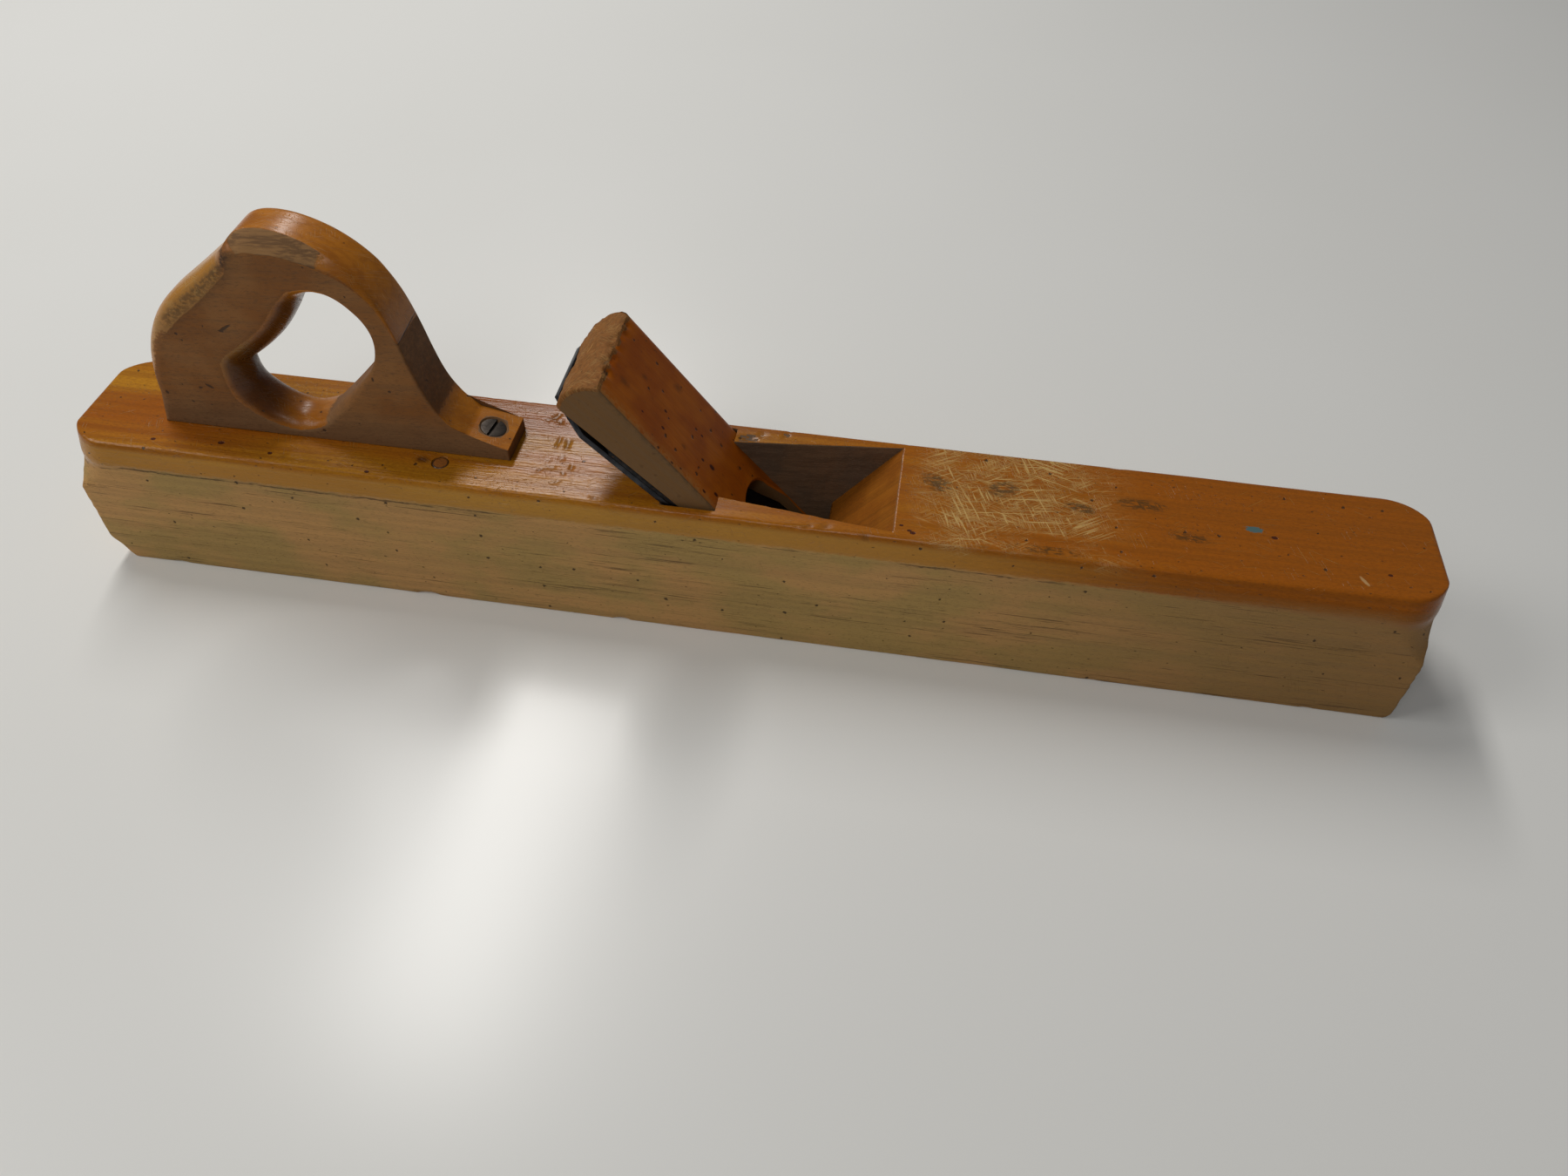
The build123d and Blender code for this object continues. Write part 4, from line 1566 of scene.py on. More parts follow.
    def pocket_outline(self, z: float) -> Array:
        """Corners of the wedge slot at a height.

        Args:
            z: The height.

        Returns:
            Four corners, from bed to abutment, or from bed to breast below the relief height.
        """
        rear, half = BED.foot - z, self.pocket_half
        front = float(BED.abutment(z) if z > self.relief_height else self.breast(z))
        return np.array([(rear, -half), (front, -half), (front, half), (rear, half)])

    def throat_outline(self, z: float) -> Array:
        """Corners of the throat between the flared cheeks at a height.

        Args:
            z: The height.

        Returns:
            Four corners, from a little behind the abutments to the breast.
        """
        rear_half, front_half = self.cheek_half
        flare = (front_half - rear_half) / (self.throat_front - BED.abutment_top)
        rear, front = float(BED.abutment(z)) - self.throat_back, float(self.breast(z))
        at_rear = rear_half + (rear - BED.abutment_top) * flare
        at_front = rear_half + (front - BED.abutment_top) * flare
        return np.array([(rear, -at_rear), (front, -at_front), (front, at_front), (rear, at_rear)])

    def pocket_tool(self) -> bpy.types.Object:
        """Cuts the wedge slot from bed to abutments, and the whole throat below the relief height.

        Returns:
            The tool.
        """
        below = np.array([-2.0, 4.0, 8.0, 12.0, 16.0, self.relief_height])
        above = np.concatenate([[self.relief_height + 0.001], np.arange(24.0, 76.0, 4.0)])
        levels = np.concatenate([below, above])
        return self.well(self.pocket_outline, (8, 14, 8, 14), levels, Ripple(6.0, 0.05, 21))

    def throat_tool(self) -> bpy.types.Object:
        """Cuts the throat between the flared cheeks, from the abutments to the breast.

        Returns:
            The tool.
        """
        levels = np.concatenate([[self.relief_height - 1.3], np.arange(self.relief_height + 1.7, 76.0, 2.0)])
        return self.well(self.throat_outline, (42, 26, 42, 12), levels, Ripple(5.0, 0.10, 27))

    def groove_tool(self) -> bpy.types.Object:
        """Cuts the groove in the bed that the clamping screw's head slides in.

        Returns:
            The tool.
        """
        half, deep, low_end = 12.0, 7.0, 70.0
        ups = np.linspace(low_end, low_end + 55.0, 12)
        corners = ((-half, -deep), (half, -deep), (half, 4.0), (-half, 4.0))
        flat = rounded_polygon(corners, (1.5, 1.5, 0.5, 0.5), (2, 2, 2, 2))
        rings = out_of_bed(ups[:, None], -flat[:, 0][None], flat[:, 1][None], BED.foot)
        return new_piece("groove_tool", *sleeve(rings))

    def socket_tool(self, centre: Sequence[float], radius: float, depth: float) -> bpy.types.Object:
        """A round drill with a rim that flares a little, for the plug's hole.

        Args:
            centre: Middle of the drill's top.
            radius: Its radius.
            depth: Its depth.

        Returns:
            The tool.
        """
        heights = np.array([-depth, -0.5, -0.2, 0.0, 2.0])
        radii = np.array([radius, radius, radius + 0.12, radius + 0.35, radius + 0.5])
        rings = spun(heights, np.tile(radii[:, None], self.plug_points)) + np.array(centre)
        return new_piece("socket_tool", *sleeve(rings))

    def mortise_tool(self) -> bpy.types.Object:
        """Cuts the mortise for the handle's stub tenon."""
        levels = (self.height - 13.0, self.height + 2.0)
        return block("mortise_tool", (-260.05, -149.95, -5.05, 5.05), levels, (4, 1))

    def build(self) -> None:
        """Builds the stock and its knot plug."""
        rings = self.shell()
        stock = new_piece("stock", *sleeve(rings, 9))
        for tool in (self.throat_tool, self.pocket_tool, self.groove_tool, self.mortise_tool):
            combine(stock, tool())
        plug_low, plug_high = node_box("knot_plug")
        centre = (plug_low + plug_high) / 2
        radius = float(plug_high[0] - plug_low[0]) / 2
        top = (centre[0], centre[1], self.height)
        combine(stock, self.socket_tool(top, radius + 0.05, 12.5))
        points = points_of(stock)
        paint(stock, "bruise", self.bruise(points) / 0.5 * rise(points[:, 2], 70.0, 75.0))
        self.dress(stock)
        shade(stock, 40.0)
        finish_piece(stock, "stock", ["body"])
        self.build_plug(centre, radius)

    def dress(self, stock: bpy.types.Object) -> None:
        """Gives the outside, the throat's walls and the breast their own finishes.

        Args:
            stock: The stock.
        """
        stock.data.materials.clear()
        for finish in (
            StockFinish(),
            RoughBeech("throat_cheeks", (0.20, 0.115, 0.062), (0.15, 0.098, 0.062), Grain.LENGTHWISE),
            RoughBeech(
                "throat_breast", (0.30, 0.098, 0.006), (0.24, 0.072, 0.004), Grain.DOWN_THE_BREAST, 0.5
            ),
        ):
            stock.data.materials.append(finish.material())
        middles, normals = faces_of(stock)
        x, y, z = middles.T
        inside = (np.abs(y) < self.pocket_half + 0.3) & (x > BED.foot - z - 0.4) & (x < self.breast(z) + 0.9)
        inside &= (z > 0.3) & (z < self.height - 0.05) & (x < self.throat_front + 0.6)
        inside &= ~((normals[:, 2] > 0.97) & (z > self.height - 0.6))
        knee_x, knee_z = self.breast_knee
        front = inside & (normals[:, 0] < -0.45) & (z > knee_z - 1) & (x > knee_x - 1)
        index = np.where(front, 2, np.where(inside, 1, 0)).astype(np.int32)
        stock.data.polygons.foreach_set("material_index", index)

    def build_plug(self, centre: Array, radius: float) -> None:
        """The knot plug: a turned disc, a little sunk and rounded over at its edge.

        Args:
            centre: Middle of the plug.
            radius: Its radius.
        """
        heights = np.array([-11.8, -11.5, -0.75, -0.4, -0.25, -0.22])
        radii = np.array([radius - 0.3, radius, radius, radius - 0.12, radius - 0.5, radius * 0.5])
        rings = spun(heights, np.tile(radii[:, None], self.plug_points)) + (*centre[:2], self.height)
        plug = new_piece("plug", *sleeve(rings, 2))
        finish = PlugFinish(centre=(float(centre[0]), float(centre[1])), radius=radius)
        plug.data.materials.append(finish.material())
        shade(plug, 50.0)
        finish_piece(plug, "stock", ["knot_plug"])


# --- The handle ----------------------------------------------------------------------------


@dataclass(frozen=True)
class Easing:
    """How an edge between a face and an outline is rounded, at some places along the outline.

    Each place is (position, depth into the face, depth into the edge, power). The curve between the
    two depths is a superellipse: power 2 rounds it and power 1 is a flat bevel.
    """

    places: Sequence[tuple[float, float, float, float]]

    def at(self, position: Array) -> Array:
        """The three numbers at positions along the outline, by straight lines between places."""
        table = np.array(self.places)
        return np.stack([np.interp(position, table[:, 0], table[:, k]) for k in (1, 2, 3)], axis=-1)


@dataclass
class Handle:
    """The closed handle: a flat board with a finger hole, rounded where the hand holds it."""

    palm: Sequence[tuple[float, float]] = (
        (-281.4, 77.0), (-280.0, 98.0), (-274.5, 121.0), (-260.0, 143.5), (-240.5, 159.5), (-217.5, 177.5),
    )
    crown: Sequence[tuple[float, float]] = (
        (-217.5, 177.5), (-211.0, 184.6), (-196.0, 187.6), (-179.0, 182.8), (-163.0, 172.2), (-152.5, 156.5),
        (-146.4, 135.0), (-140.5, 110.0), (-134.0, 97.0), (-126.0, 88.9),
    )
    nose: Sequence[tuple[float, float]] = ((-126.0, 88.9), (-106.0, 83.8), (-106.0, 77.0), (-281.4, 77.0))
    swell: Sequence[tuple[float, float]] = (
        (-229.5, 113.5), (-221.5, 119.5), (-209.0, 130.0), (-198.0, 143.2), (-190.0, 156.0),
    )
    arch: Sequence[tuple[float, float]] = (
        (-190.0, 156.0), (-179.0, 161.0), (-166.5, 155.5), (-159.4, 143.4), (-160.6, 129.6), (-172.4, 112.6),
        (-195.0, 90.0),
    )
    floor: Sequence[tuple[float, float]] = (
        (-195.0, 90.0), (-208.5, 86.0), (-222.0, 92.5), (-229.0, 103.0), (-229.5, 113.5),
    )
    # Positions on the outlines that face each other: outside, inside.
    pairs: Sequence[tuple[float, float]] = (
        (0.0, -0.30), (0.45, 0.02), (1.0, 0.86), (1.16, 1.06), (1.39, 1.22), (1.62, 1.38), (1.93, 1.58),
        (2.0, 1.62), (3.0, 1.72), (4.0, 1.80), (4.50, 2.12), (4.72, 2.40), (5.0, 2.70),
    )
    outer_near: Easing = Easing((
        (0.0, 2.0, 2.0, 2.0), (0.12, 7.0, 7.5, 2.0), (0.7, 9.0, 9.5, 2.0), (0.94, 7.0, 7.5, 1.8),
        (1.0, 3.0, 3.2, 1.6), (1.04, 7.0, 5.0, 1.15), (1.14, 9.6, 6.2, 1.08), (1.27, 7.5, 5.5, 1.08),
        (1.38, 4.6, 3.6, 1.1),
        (1.50, 1.6, 1.4, 1.3), (1.6, 0.8, 0.8, 2.0), (4.0, 0.6, 0.6, 2.0), (5.0, 0.6, 0.6, 2.0),
    ))
    outer_far: Easing = Easing((
        (0.0, 2.0, 2.0, 2.0), (0.12, 7.0, 7.5, 2.0), (0.7, 9.0, 9.5, 2.0), (1.0, 4.5, 4.5, 2.0),
        (1.1, 3.6, 3.8, 2.0), (1.5, 2.4, 2.4, 2.0), (1.7, 0.9, 0.9, 2.0), (4.0, 0.6, 0.6, 2.0),
        (5.0, 0.6, 0.6, 2.0),
    ))
    inner: Easing = Easing((
        (0.0, 12.5, 12.2, 1.8), (0.45, 11.5, 12.2, 1.8), (0.85, 10.0, 11.6, 2.0), (1.0, 7.0, 9.0, 2.0),
        (1.12, 2.4, 2.6, 2.0), (1.26, 1.0, 1.0, 2.0), (1.48, 1.0, 1.0, 2.0), (1.66, 2.4, 3.6, 2.0),
        (1.85, 4.2, 7.0, 2.0), (2.0, 4.4, 8.6, 2.0), (2.2, 5.2, 10.6, 2.0), (2.45, 9.0, 12.0, 1.8),
        (2.75, 14.0, 12.2, 1.8), (3.0, 12.5, 12.2, 1.8),
    ))
    spacing: float = 1.5
    tenon: tuple[float, float, float] = (110.0, 10.0, 12.0)
    tenon_middle: float = -205.0
    half: float = field(init=False)
    foot: float = field(init=False)

    def __post_init__(self) -> None:
        """Takes the handle's thickness and foot from its CAD node."""
        low, high = node_box("handle")
        self.half = float(high[1] - low[1]) / 2
        self.foot = BED.height

    @staticmethod
    def chain(parts: Sequence[Array]) -> tuple[Array, Array]:
        """Joins open runs into one closed outline.

        Args:
            parts: Samples of each run. A run starts where the last one ends.

        Returns:
            The samples, and each one's position: the number of its run plus its share along it.
        """
        points, positions = [], []
        for index, part in enumerate(parts):
            steps = np.linalg.norm(np.diff(part, axis=0), axis=1)
            share = np.concatenate([[0.0], np.cumsum(steps)]) / steps.sum()
            points.append(part[:-1])
            positions.append(index + share[:-1])
        return np.concatenate(points), np.concatenate(positions)

    def outside(self) -> tuple[Array, Array]:
        """The outer outline and the positions along it: palm 0, crown 1, tail 2, tip 3, foot 4.

        Returns:
            Points and positions.
        """
        corners = np.array(self.nose)
        runs = [
            a + np.linspace(0, 1, max(2, round(np.linalg.norm(b - a) / self.spacing)) + 1)[:, None] * (b - a)
            for a, b in zip(corners[:-1], corners[1:])
        ]
        curves = [cubic_through(part, self.spacing) for part in (self.palm, self.crown)]
        return self.chain([*curves, *runs])

    def inside(self) -> tuple[Array, Array]:
        """The hole's outline and the positions along it: swell 0, arch 1, floor 2."""
        fine = 0.5
        return self.chain([cubic_through(part, fine) for part in (self.swell, self.arch, self.floor)])

    def grid(self) -> tuple[Array, dict[str, Array]]:
        """The handle as one closed ring of points for each place along its outline.

        At each place the section is a bar from the outer outline to the hole, with each of its four
        edges eased by a superellipse: depth = a (1 - cos^(2/p)), and distance from the middle plane =
        half - b (1 - sin^(2/p)).

        Returns:
            The rings, and the numbers varnish, facet, grime (dirt and painted shade) and hollow (painted
            shade) for every point.
        """
        outer, position = self.outside()
        hole, hole_position = self.inside()
        pairs = np.array(self.pairs)
        facing = np.interp(position, pairs[:, 0], pairs[:, 1])
        loop = np.concatenate([hole_position - 3, hole_position, hole_position + 3])
        inner = np.stack([np.interp(facing, loop, np.tile(hole[:, k], 3)) for k in (0, 1)], axis=-1)
        # The inward normal of the outer outline, and the normal that leads from the hole into the wood.
        run = np.roll(outer, -1, axis=0) - np.roll(outer, 1, axis=0)
        into = unit(np.stack([run[:, 1], -run[:, 0]], axis=-1))
        hole_run = np.roll(hole, -1, axis=0) - np.roll(hole, 1, axis=0)
        hole_out = unit(np.stack([-hole_run[:, 1], hole_run[:, 0]], axis=-1))
        away = unit(np.stack([np.interp(facing, loop, np.tile(hole_out[:, k], 3)) for k in (0, 1)], axis=-1))

        near, far = self.outer_near.at(position), self.outer_far.at(position)
        rim = self.inner.at(np.mod(facing, 3.0))
        quarter = np.radians(np.array([0, 12, 25, 38, 50, 62, 74, 83, 90.0]))
        columns: list[Array] = []
        masks: dict[str, list[Array]] = {"varnish": [], "facet": [], "grime_and_shade": [], "hollow": []}
        count = len(outer)
        facet_here = rise(position, 1.02, 1.05) * rise(position, 1.37, 1.28)
        bevel_here = rise(position, 1.24, 1.32) * rise(position, 1.66, 1.58)
        palm_here = rise(position, 1.02, 0.98) * rise(position, 0.02, 0.1)
        notch = 1.3 * np.exp(-(((position - 1.0) / 0.028) ** 2))
        strap = rise(position, 0.42, 0.6) * rise(position, 1.02, 0.97)

        def put(
            base: Array, way: Array, depth: Array, y: Array, varnish: object, facet: object, grime_and_shade: object,
            hollow: object = 0.0,
        ) -> None:
            """Adds one column of points and its numbers.

            Args:
                base: Places on the outline.
                way: Direction into the wood at each place.
                depth: How far the points lie along that direction.
                y: Their distance from the middle plane.
                varnish: How much varnish is left.
                facet: 1 on the worn facet.
                grime_and_shade: How dark the dirt is, with painted shade added on the hole's walls.
                hollow: 1 deep in the hole's rounding, where the darkest painted shade goes.
            """
            flat = base + way * np.reshape(depth, (-1, 1))
            columns.append(np.column_stack([flat[:, 0], np.broadcast_to(y, count), flat[:, 1]]))
            for key, value in (("varnish", varnish), ("facet", facet), ("grime_and_shade", grime_and_shade), ("hollow", hollow)):
                masks[key].append(np.broadcast_to(np.asarray(value, float), count))

        edge_varnish = 1.0 - 0.9 * rise(position, 0.32, 0.08) * rise(position, 2.0, 1.0)
        edge_varnish = np.where(position > 3.0, 0.0, edge_varnish)
        front_bare = rise(position, 1.62, 1.66) * rise(position, 1.93, 1.86)
        edge_varnish = edge_varnish * (1 - front_bare)
        front_grime = 0.45 * front_bare
        edge_grime = 0.6 * notch + front_grime
        # Across the outer edge, from the middle to the near side.
        for share in (0.0, 0.33, 0.66):
            side = -share * (self.half - near[:, 1])
            put(outer, into, np.zeros(count), side, edge_varnish, 0.0, edge_grime)
        for angle in quarter:
            x_part, y_part = np.cos(angle) ** (2 / near[:, 2]), np.sin(angle) ** (2 / near[:, 2])
            lean = math.sin(angle)
            line = math.exp(-(((lean - 0.93) / 0.16) ** 2))
            grime_and_shade = palm_here * strap * 0.9 * line + 0.7 * notch + front_grime
            grime_and_shade = grime_and_shade + bevel_here * 0.75 * math.exp(-(((lean - 1.0) / 0.05) ** 2))
            bared = 0.75 * lean**3 * (1 - bevel_here) * (1 - 0.85 * palm_here * strap)
            put(outer, into, near[:, 0] * (1 - x_part), -(self.half - near[:, 1] * (1 - y_part)),
                edge_varnish * (1 - bared), facet_here * float(0.04 < lean < 0.995), grime_and_shade)
        start, stop = outer + into * near[:, :1], inner + away * rim[:, :1]
        shares = np.linspace(0.0, 1.0, 13)[1:-1]
        reach = np.linalg.norm(stop - start, axis=1)
        for share in shares:
            cling = np.exp(-share * reach / 2.5)
            put(start + (stop - start) * share, into, np.zeros(count), np.array(-self.half), 0.0, 0.0,
                cling * (0.75 * palm_here * strap + 0.35 * notch))
        turn_in = np.mod(facing, 3.0)
        # Round the finger hole: bright is how much varnish is left, deep marks where the darkest painted
        # shade goes, and shadow is painted shade stored with the dirt.
        bright = 1.0 - 0.85 * rise(turn_in, 1.2, 1.35) * rise(turn_in, 2.15, 1.95)
        deep = np.maximum(rise(turn_in, 1.1, 0.9), rise(turn_in, 2.2, 2.6))
        shadow = 0.15 + 0.25 * rise(turn_in, 2.5, 2.8)

        def put_hole_edge(side: float, angles: Array) -> None:
            """Adds the columns of the hole's edge on one side.

            Args:
                side: -1 for the near side and 1 for the far one.
                angles: Angle of each column round the edge.
            """
            for angle in angles:
                put(inner, away, rim[:, 0] * (1 - math.cos(angle)),
                    side * (self.half - rim[:, 1] * (1 - math.sin(angle))),
                    bright * rise(np.array(angle), 1.50, 1.15), 0.0, shadow * (1 - math.sin(angle)),
                    deep * rise(np.array(angle), 1.56, 1.0))

        put_hole_edge(-1.0, quarter[::-1])
        for share in (0.6, 0.0, -0.6):
            put(inner, away, np.zeros(count), -share * (self.half - rim[:, 1]), bright, 0.0, shadow, deep)
        put_hole_edge(1.0, quarter)
        start, stop = outer + into * far[:, :1], inner + away * rim[:, :1]
        for share in shares[::-1]:
            put(start + (stop - start) * share, into, np.zeros(count), np.array(self.half), 0.0, 0.0, 0.0)
        for angle in quarter[::-1]:
            x_part, y_part = np.cos(angle) ** (2 / far[:, 2]), np.sin(angle) ** (2 / far[:, 2])
            lean = math.sin(angle)
            put(outer, into, far[:, 0] * (1 - x_part), self.half - far[:, 1] * (1 - y_part),
                edge_varnish * (1 - 0.75 * lean**3), 0.0, 0.7 * notch + front_grime)
        for share in (0.66, 0.33):
            side = share * (self.half - far[:, 1])
            put(outer, into, np.zeros(count), side, edge_varnish, 0.0, edge_grime)
        rings = np.stack(columns, axis=1)
        values = {key: np.stack(list(value), axis=1) for key, value in masks.items()}
        uneven = Ripple(28.0, 0.16, 31).at(rings) * rise(rings[..., 2], 79.0, 84.0)
        rings[..., 1] -= np.sign(rings[..., 1]) * np.abs(uneven)
        return rings, values

    def tenon_tool(self) -> bpy.types.Object:
        """The stub tenon, a block that is joined to the handle's foot.

        Returns:
            The tenon.
        """
        long, wide, deep = self.tenon
        box = (self.tenon_middle - long / 2, self.tenon_middle + long / 2, -wide / 2, wide / 2)
        return block("tenon", box, (self.foot - deep, self.foot + 2.0), (6, 1))

    def build(self) -> bpy.types.Object:
        """Builds the handle, with its stub tenon joined on.

        Returns:
            The handle.
        """
        rings, values = self.grid()
        count, around, _ = rings.shape
        handle = new_piece("closed_handle", rings.reshape(-1, 3), ring_faces(count, around, closed=True))
        for name, value in values.items():
            paint(handle, name, value.reshape(-1))
        combine(handle, self.tenon_tool(), "UNION")
        handle.data.materials.clear()
        handle.data.materials.append(HandleFinish().material())
        return handle


@dataclass
class TailScrew:
    """The slotted wood screw that holds the handle's tail down."""

    x: float = -116.5
    slope_from: tuple[float, float] = (-126.0, 88.9)
    slope_to: tuple[float, float] = (-106.0, 83.8)
    head: float = 6.2
    shank: float = 3.25
    length: float = 38.0
    slot_width: float = 1.5
    slot_turn: float = 83.0
    points: int = 64

    def placing(self) -> tuple[Array, Array]:
        """The seat's middle, and a turn whose columns are the seat's axes, the last one upwards.

        Returns:
            The middle and the turn.
        """
        (x0, z0), (x1, z1) = self.slope_from, self.slope_to
        down = unit(np.array([x1 - x0, 0.0, z1 - z0]))
        up = np.array([-down[2], 0.0, down[0]])
        seat = np.array([self.x, 0.0, z0 + (self.x - x0) * (z1 - z0) / (x1 - x0)])
        return seat, np.column_stack([down, np.cross(up, down), up])

    def turned(self, heights: Array, radii: Array, twist: Array | float = 0.0) -> Array:
        """Rings of a turned shape on the seat's axis.

        Args:
            heights: Height of each ring above the seat.
            radii: Radius of each ring.
            twist: Added to the radius at each point.

        Returns:
            Points, as ring, point, coordinate.
        """
        seat, turn = self.placing()
        return seat + spun(heights, np.tile(radii[:, None], self.points) + twist) @ turn.T

    def countersink(self) -> bpy.types.Object:
        """The tool for the hole and countersink, a little wider than the screw.

        Returns:
            The tool.
        """
        heights = np.array([-46.0, -6.0, -3.3, -0.5, 0.05, 2.0])
        radii = np.array([3.3, 3.3, 3.6, 6.4, 6.85, 7.6])
        return new_piece("countersink_tool", *sleeve(self.turned(heights, radii)))

    def build(self) -> None:
        """Builds the screw: a flat, slightly domed head, a shank and a thread that winds to a point."""
        head_heights = np.array([-0.28, -0.30, -0.36, -0.5, -0.85, -3.1])
        head_radii = np.array([0.5, 3.0, 5.2, 6.0, 6.2, self.shank + 0.2])
        plain = np.linspace(-3.6, -13.0, 8)
        thread = np.linspace(-13.2, 2.0 - self.length, 120)
        heights = np.concatenate([head_heights, plain, thread, [-self.length + 0.4]])
        core = np.interp(thread, [-self.length, -32.0, -13.0], [0.4, 2.3, 2.5])
        radii = np.concatenate([head_radii, np.full(8, self.shank), core, [0.25]])
        angle = full_turn(self.points)[None]
        pitch, crest = 2.6, 0.75
        wave = np.mod(heights[:, None] / pitch + angle / (2 * math.pi), 1.0)
        ridge = crest * np.clip(1 - np.abs(wave - 0.5) / 0.22, 0.0, 1.0)
        runs_out = rise(heights, -self.length + 1.0, -self.length + 6.0)
        ridge *= (rise(heights, -13.0, -15.0) * runs_out)[:, None]
        screw = new_piece("tail_screw", *sleeve(self.turned(heights, radii, ridge)[::-1]))
        seat, turn = self.placing()
        c, s = math.cos(math.radians(self.slot_turn)), math.sin(math.radians(self.slot_turn))
        half, reach, deep = self.slot_width / 2, 8.0, 1.5
        corners = ((-half, -deep), (half, -deep), (half + 0.25, 1.0), (-half - 0.25, 1.0))
        flat = rounded_polygon(corners, (0.3, 0.3, 0.05, 0.05), (1, 1, 1, 1))
        ends, wide = np.linspace(-reach, reach, 9)[:, None], flat[:, 0][None]
        local = np.stack(
            np.broadcast_arrays(ends * c - wide * s, ends * s + wide * c, flat[:, 1][None]), axis=-1
        )
        combine(screw, new_piece("slot_tool", *sleeve(seat + local @ turn.T)))
        screw.data.materials.clear()
        finish = OldSteel(
            "darkened_screw_steel", (0.075, 0.062, 0.052), (0.03, 0.024, 0.020), 0.5, (0.34, 0.55)
        )
        screw.data.materials.append(finish.material())
        shade(screw, 35.0)
        finish_piece(screw, "stock", ["handle_screw"])


# --- The double iron and the wedge -----------------------------------------------------------


@dataclass
class DoubleIron:
    """The cutting iron, the cap iron with its boss, and the screw that clamps them."""

    arris: float = 0.22

    def build(self) -> None:
        """Builds the four metal pieces with eased arrises."""
        plan = (
            ("cutting_iron", "iron", "cutter", "iron_steel",
             OldSteel("ground_iron_steel", (0.075, 0.078, 0.086), (0.032, 0.033, 0.038), 0.25, (0.34, 0.5))),
            ("cap_iron", "back_iron", "breaker", "cap_steel",
             OldSteel("black_cap_steel", (0.05, 0.05, 0.052), (0.02, 0.02, 0.021), 0.3, (0.35, 0.6))),
            ("cap_iron_boss", "boss", "breaker", "boss_brass",
             OldSteel("tarnished_brass", (0.50, 0.36, 0.14), (0.24, 0.16, 0.06), 0.2, (0.3, 0.5))),
            ("cap_iron_screw", "clamping_screw", "cap_screw", "screw_steel",
             OldSteel("clamping_screw_steel", (0.22, 0.21, 0.20), (0.09, 0.085, 0.08), 0.3, (0.3, 0.5))),
        )
        for node, name, body, slot, finish in plan:
            piece = solid_copy(node, name, self.arris)
            piece.data.materials.append(finish.material())
            shade(piece, 30.0)
            finish_piece(piece, body, [node])


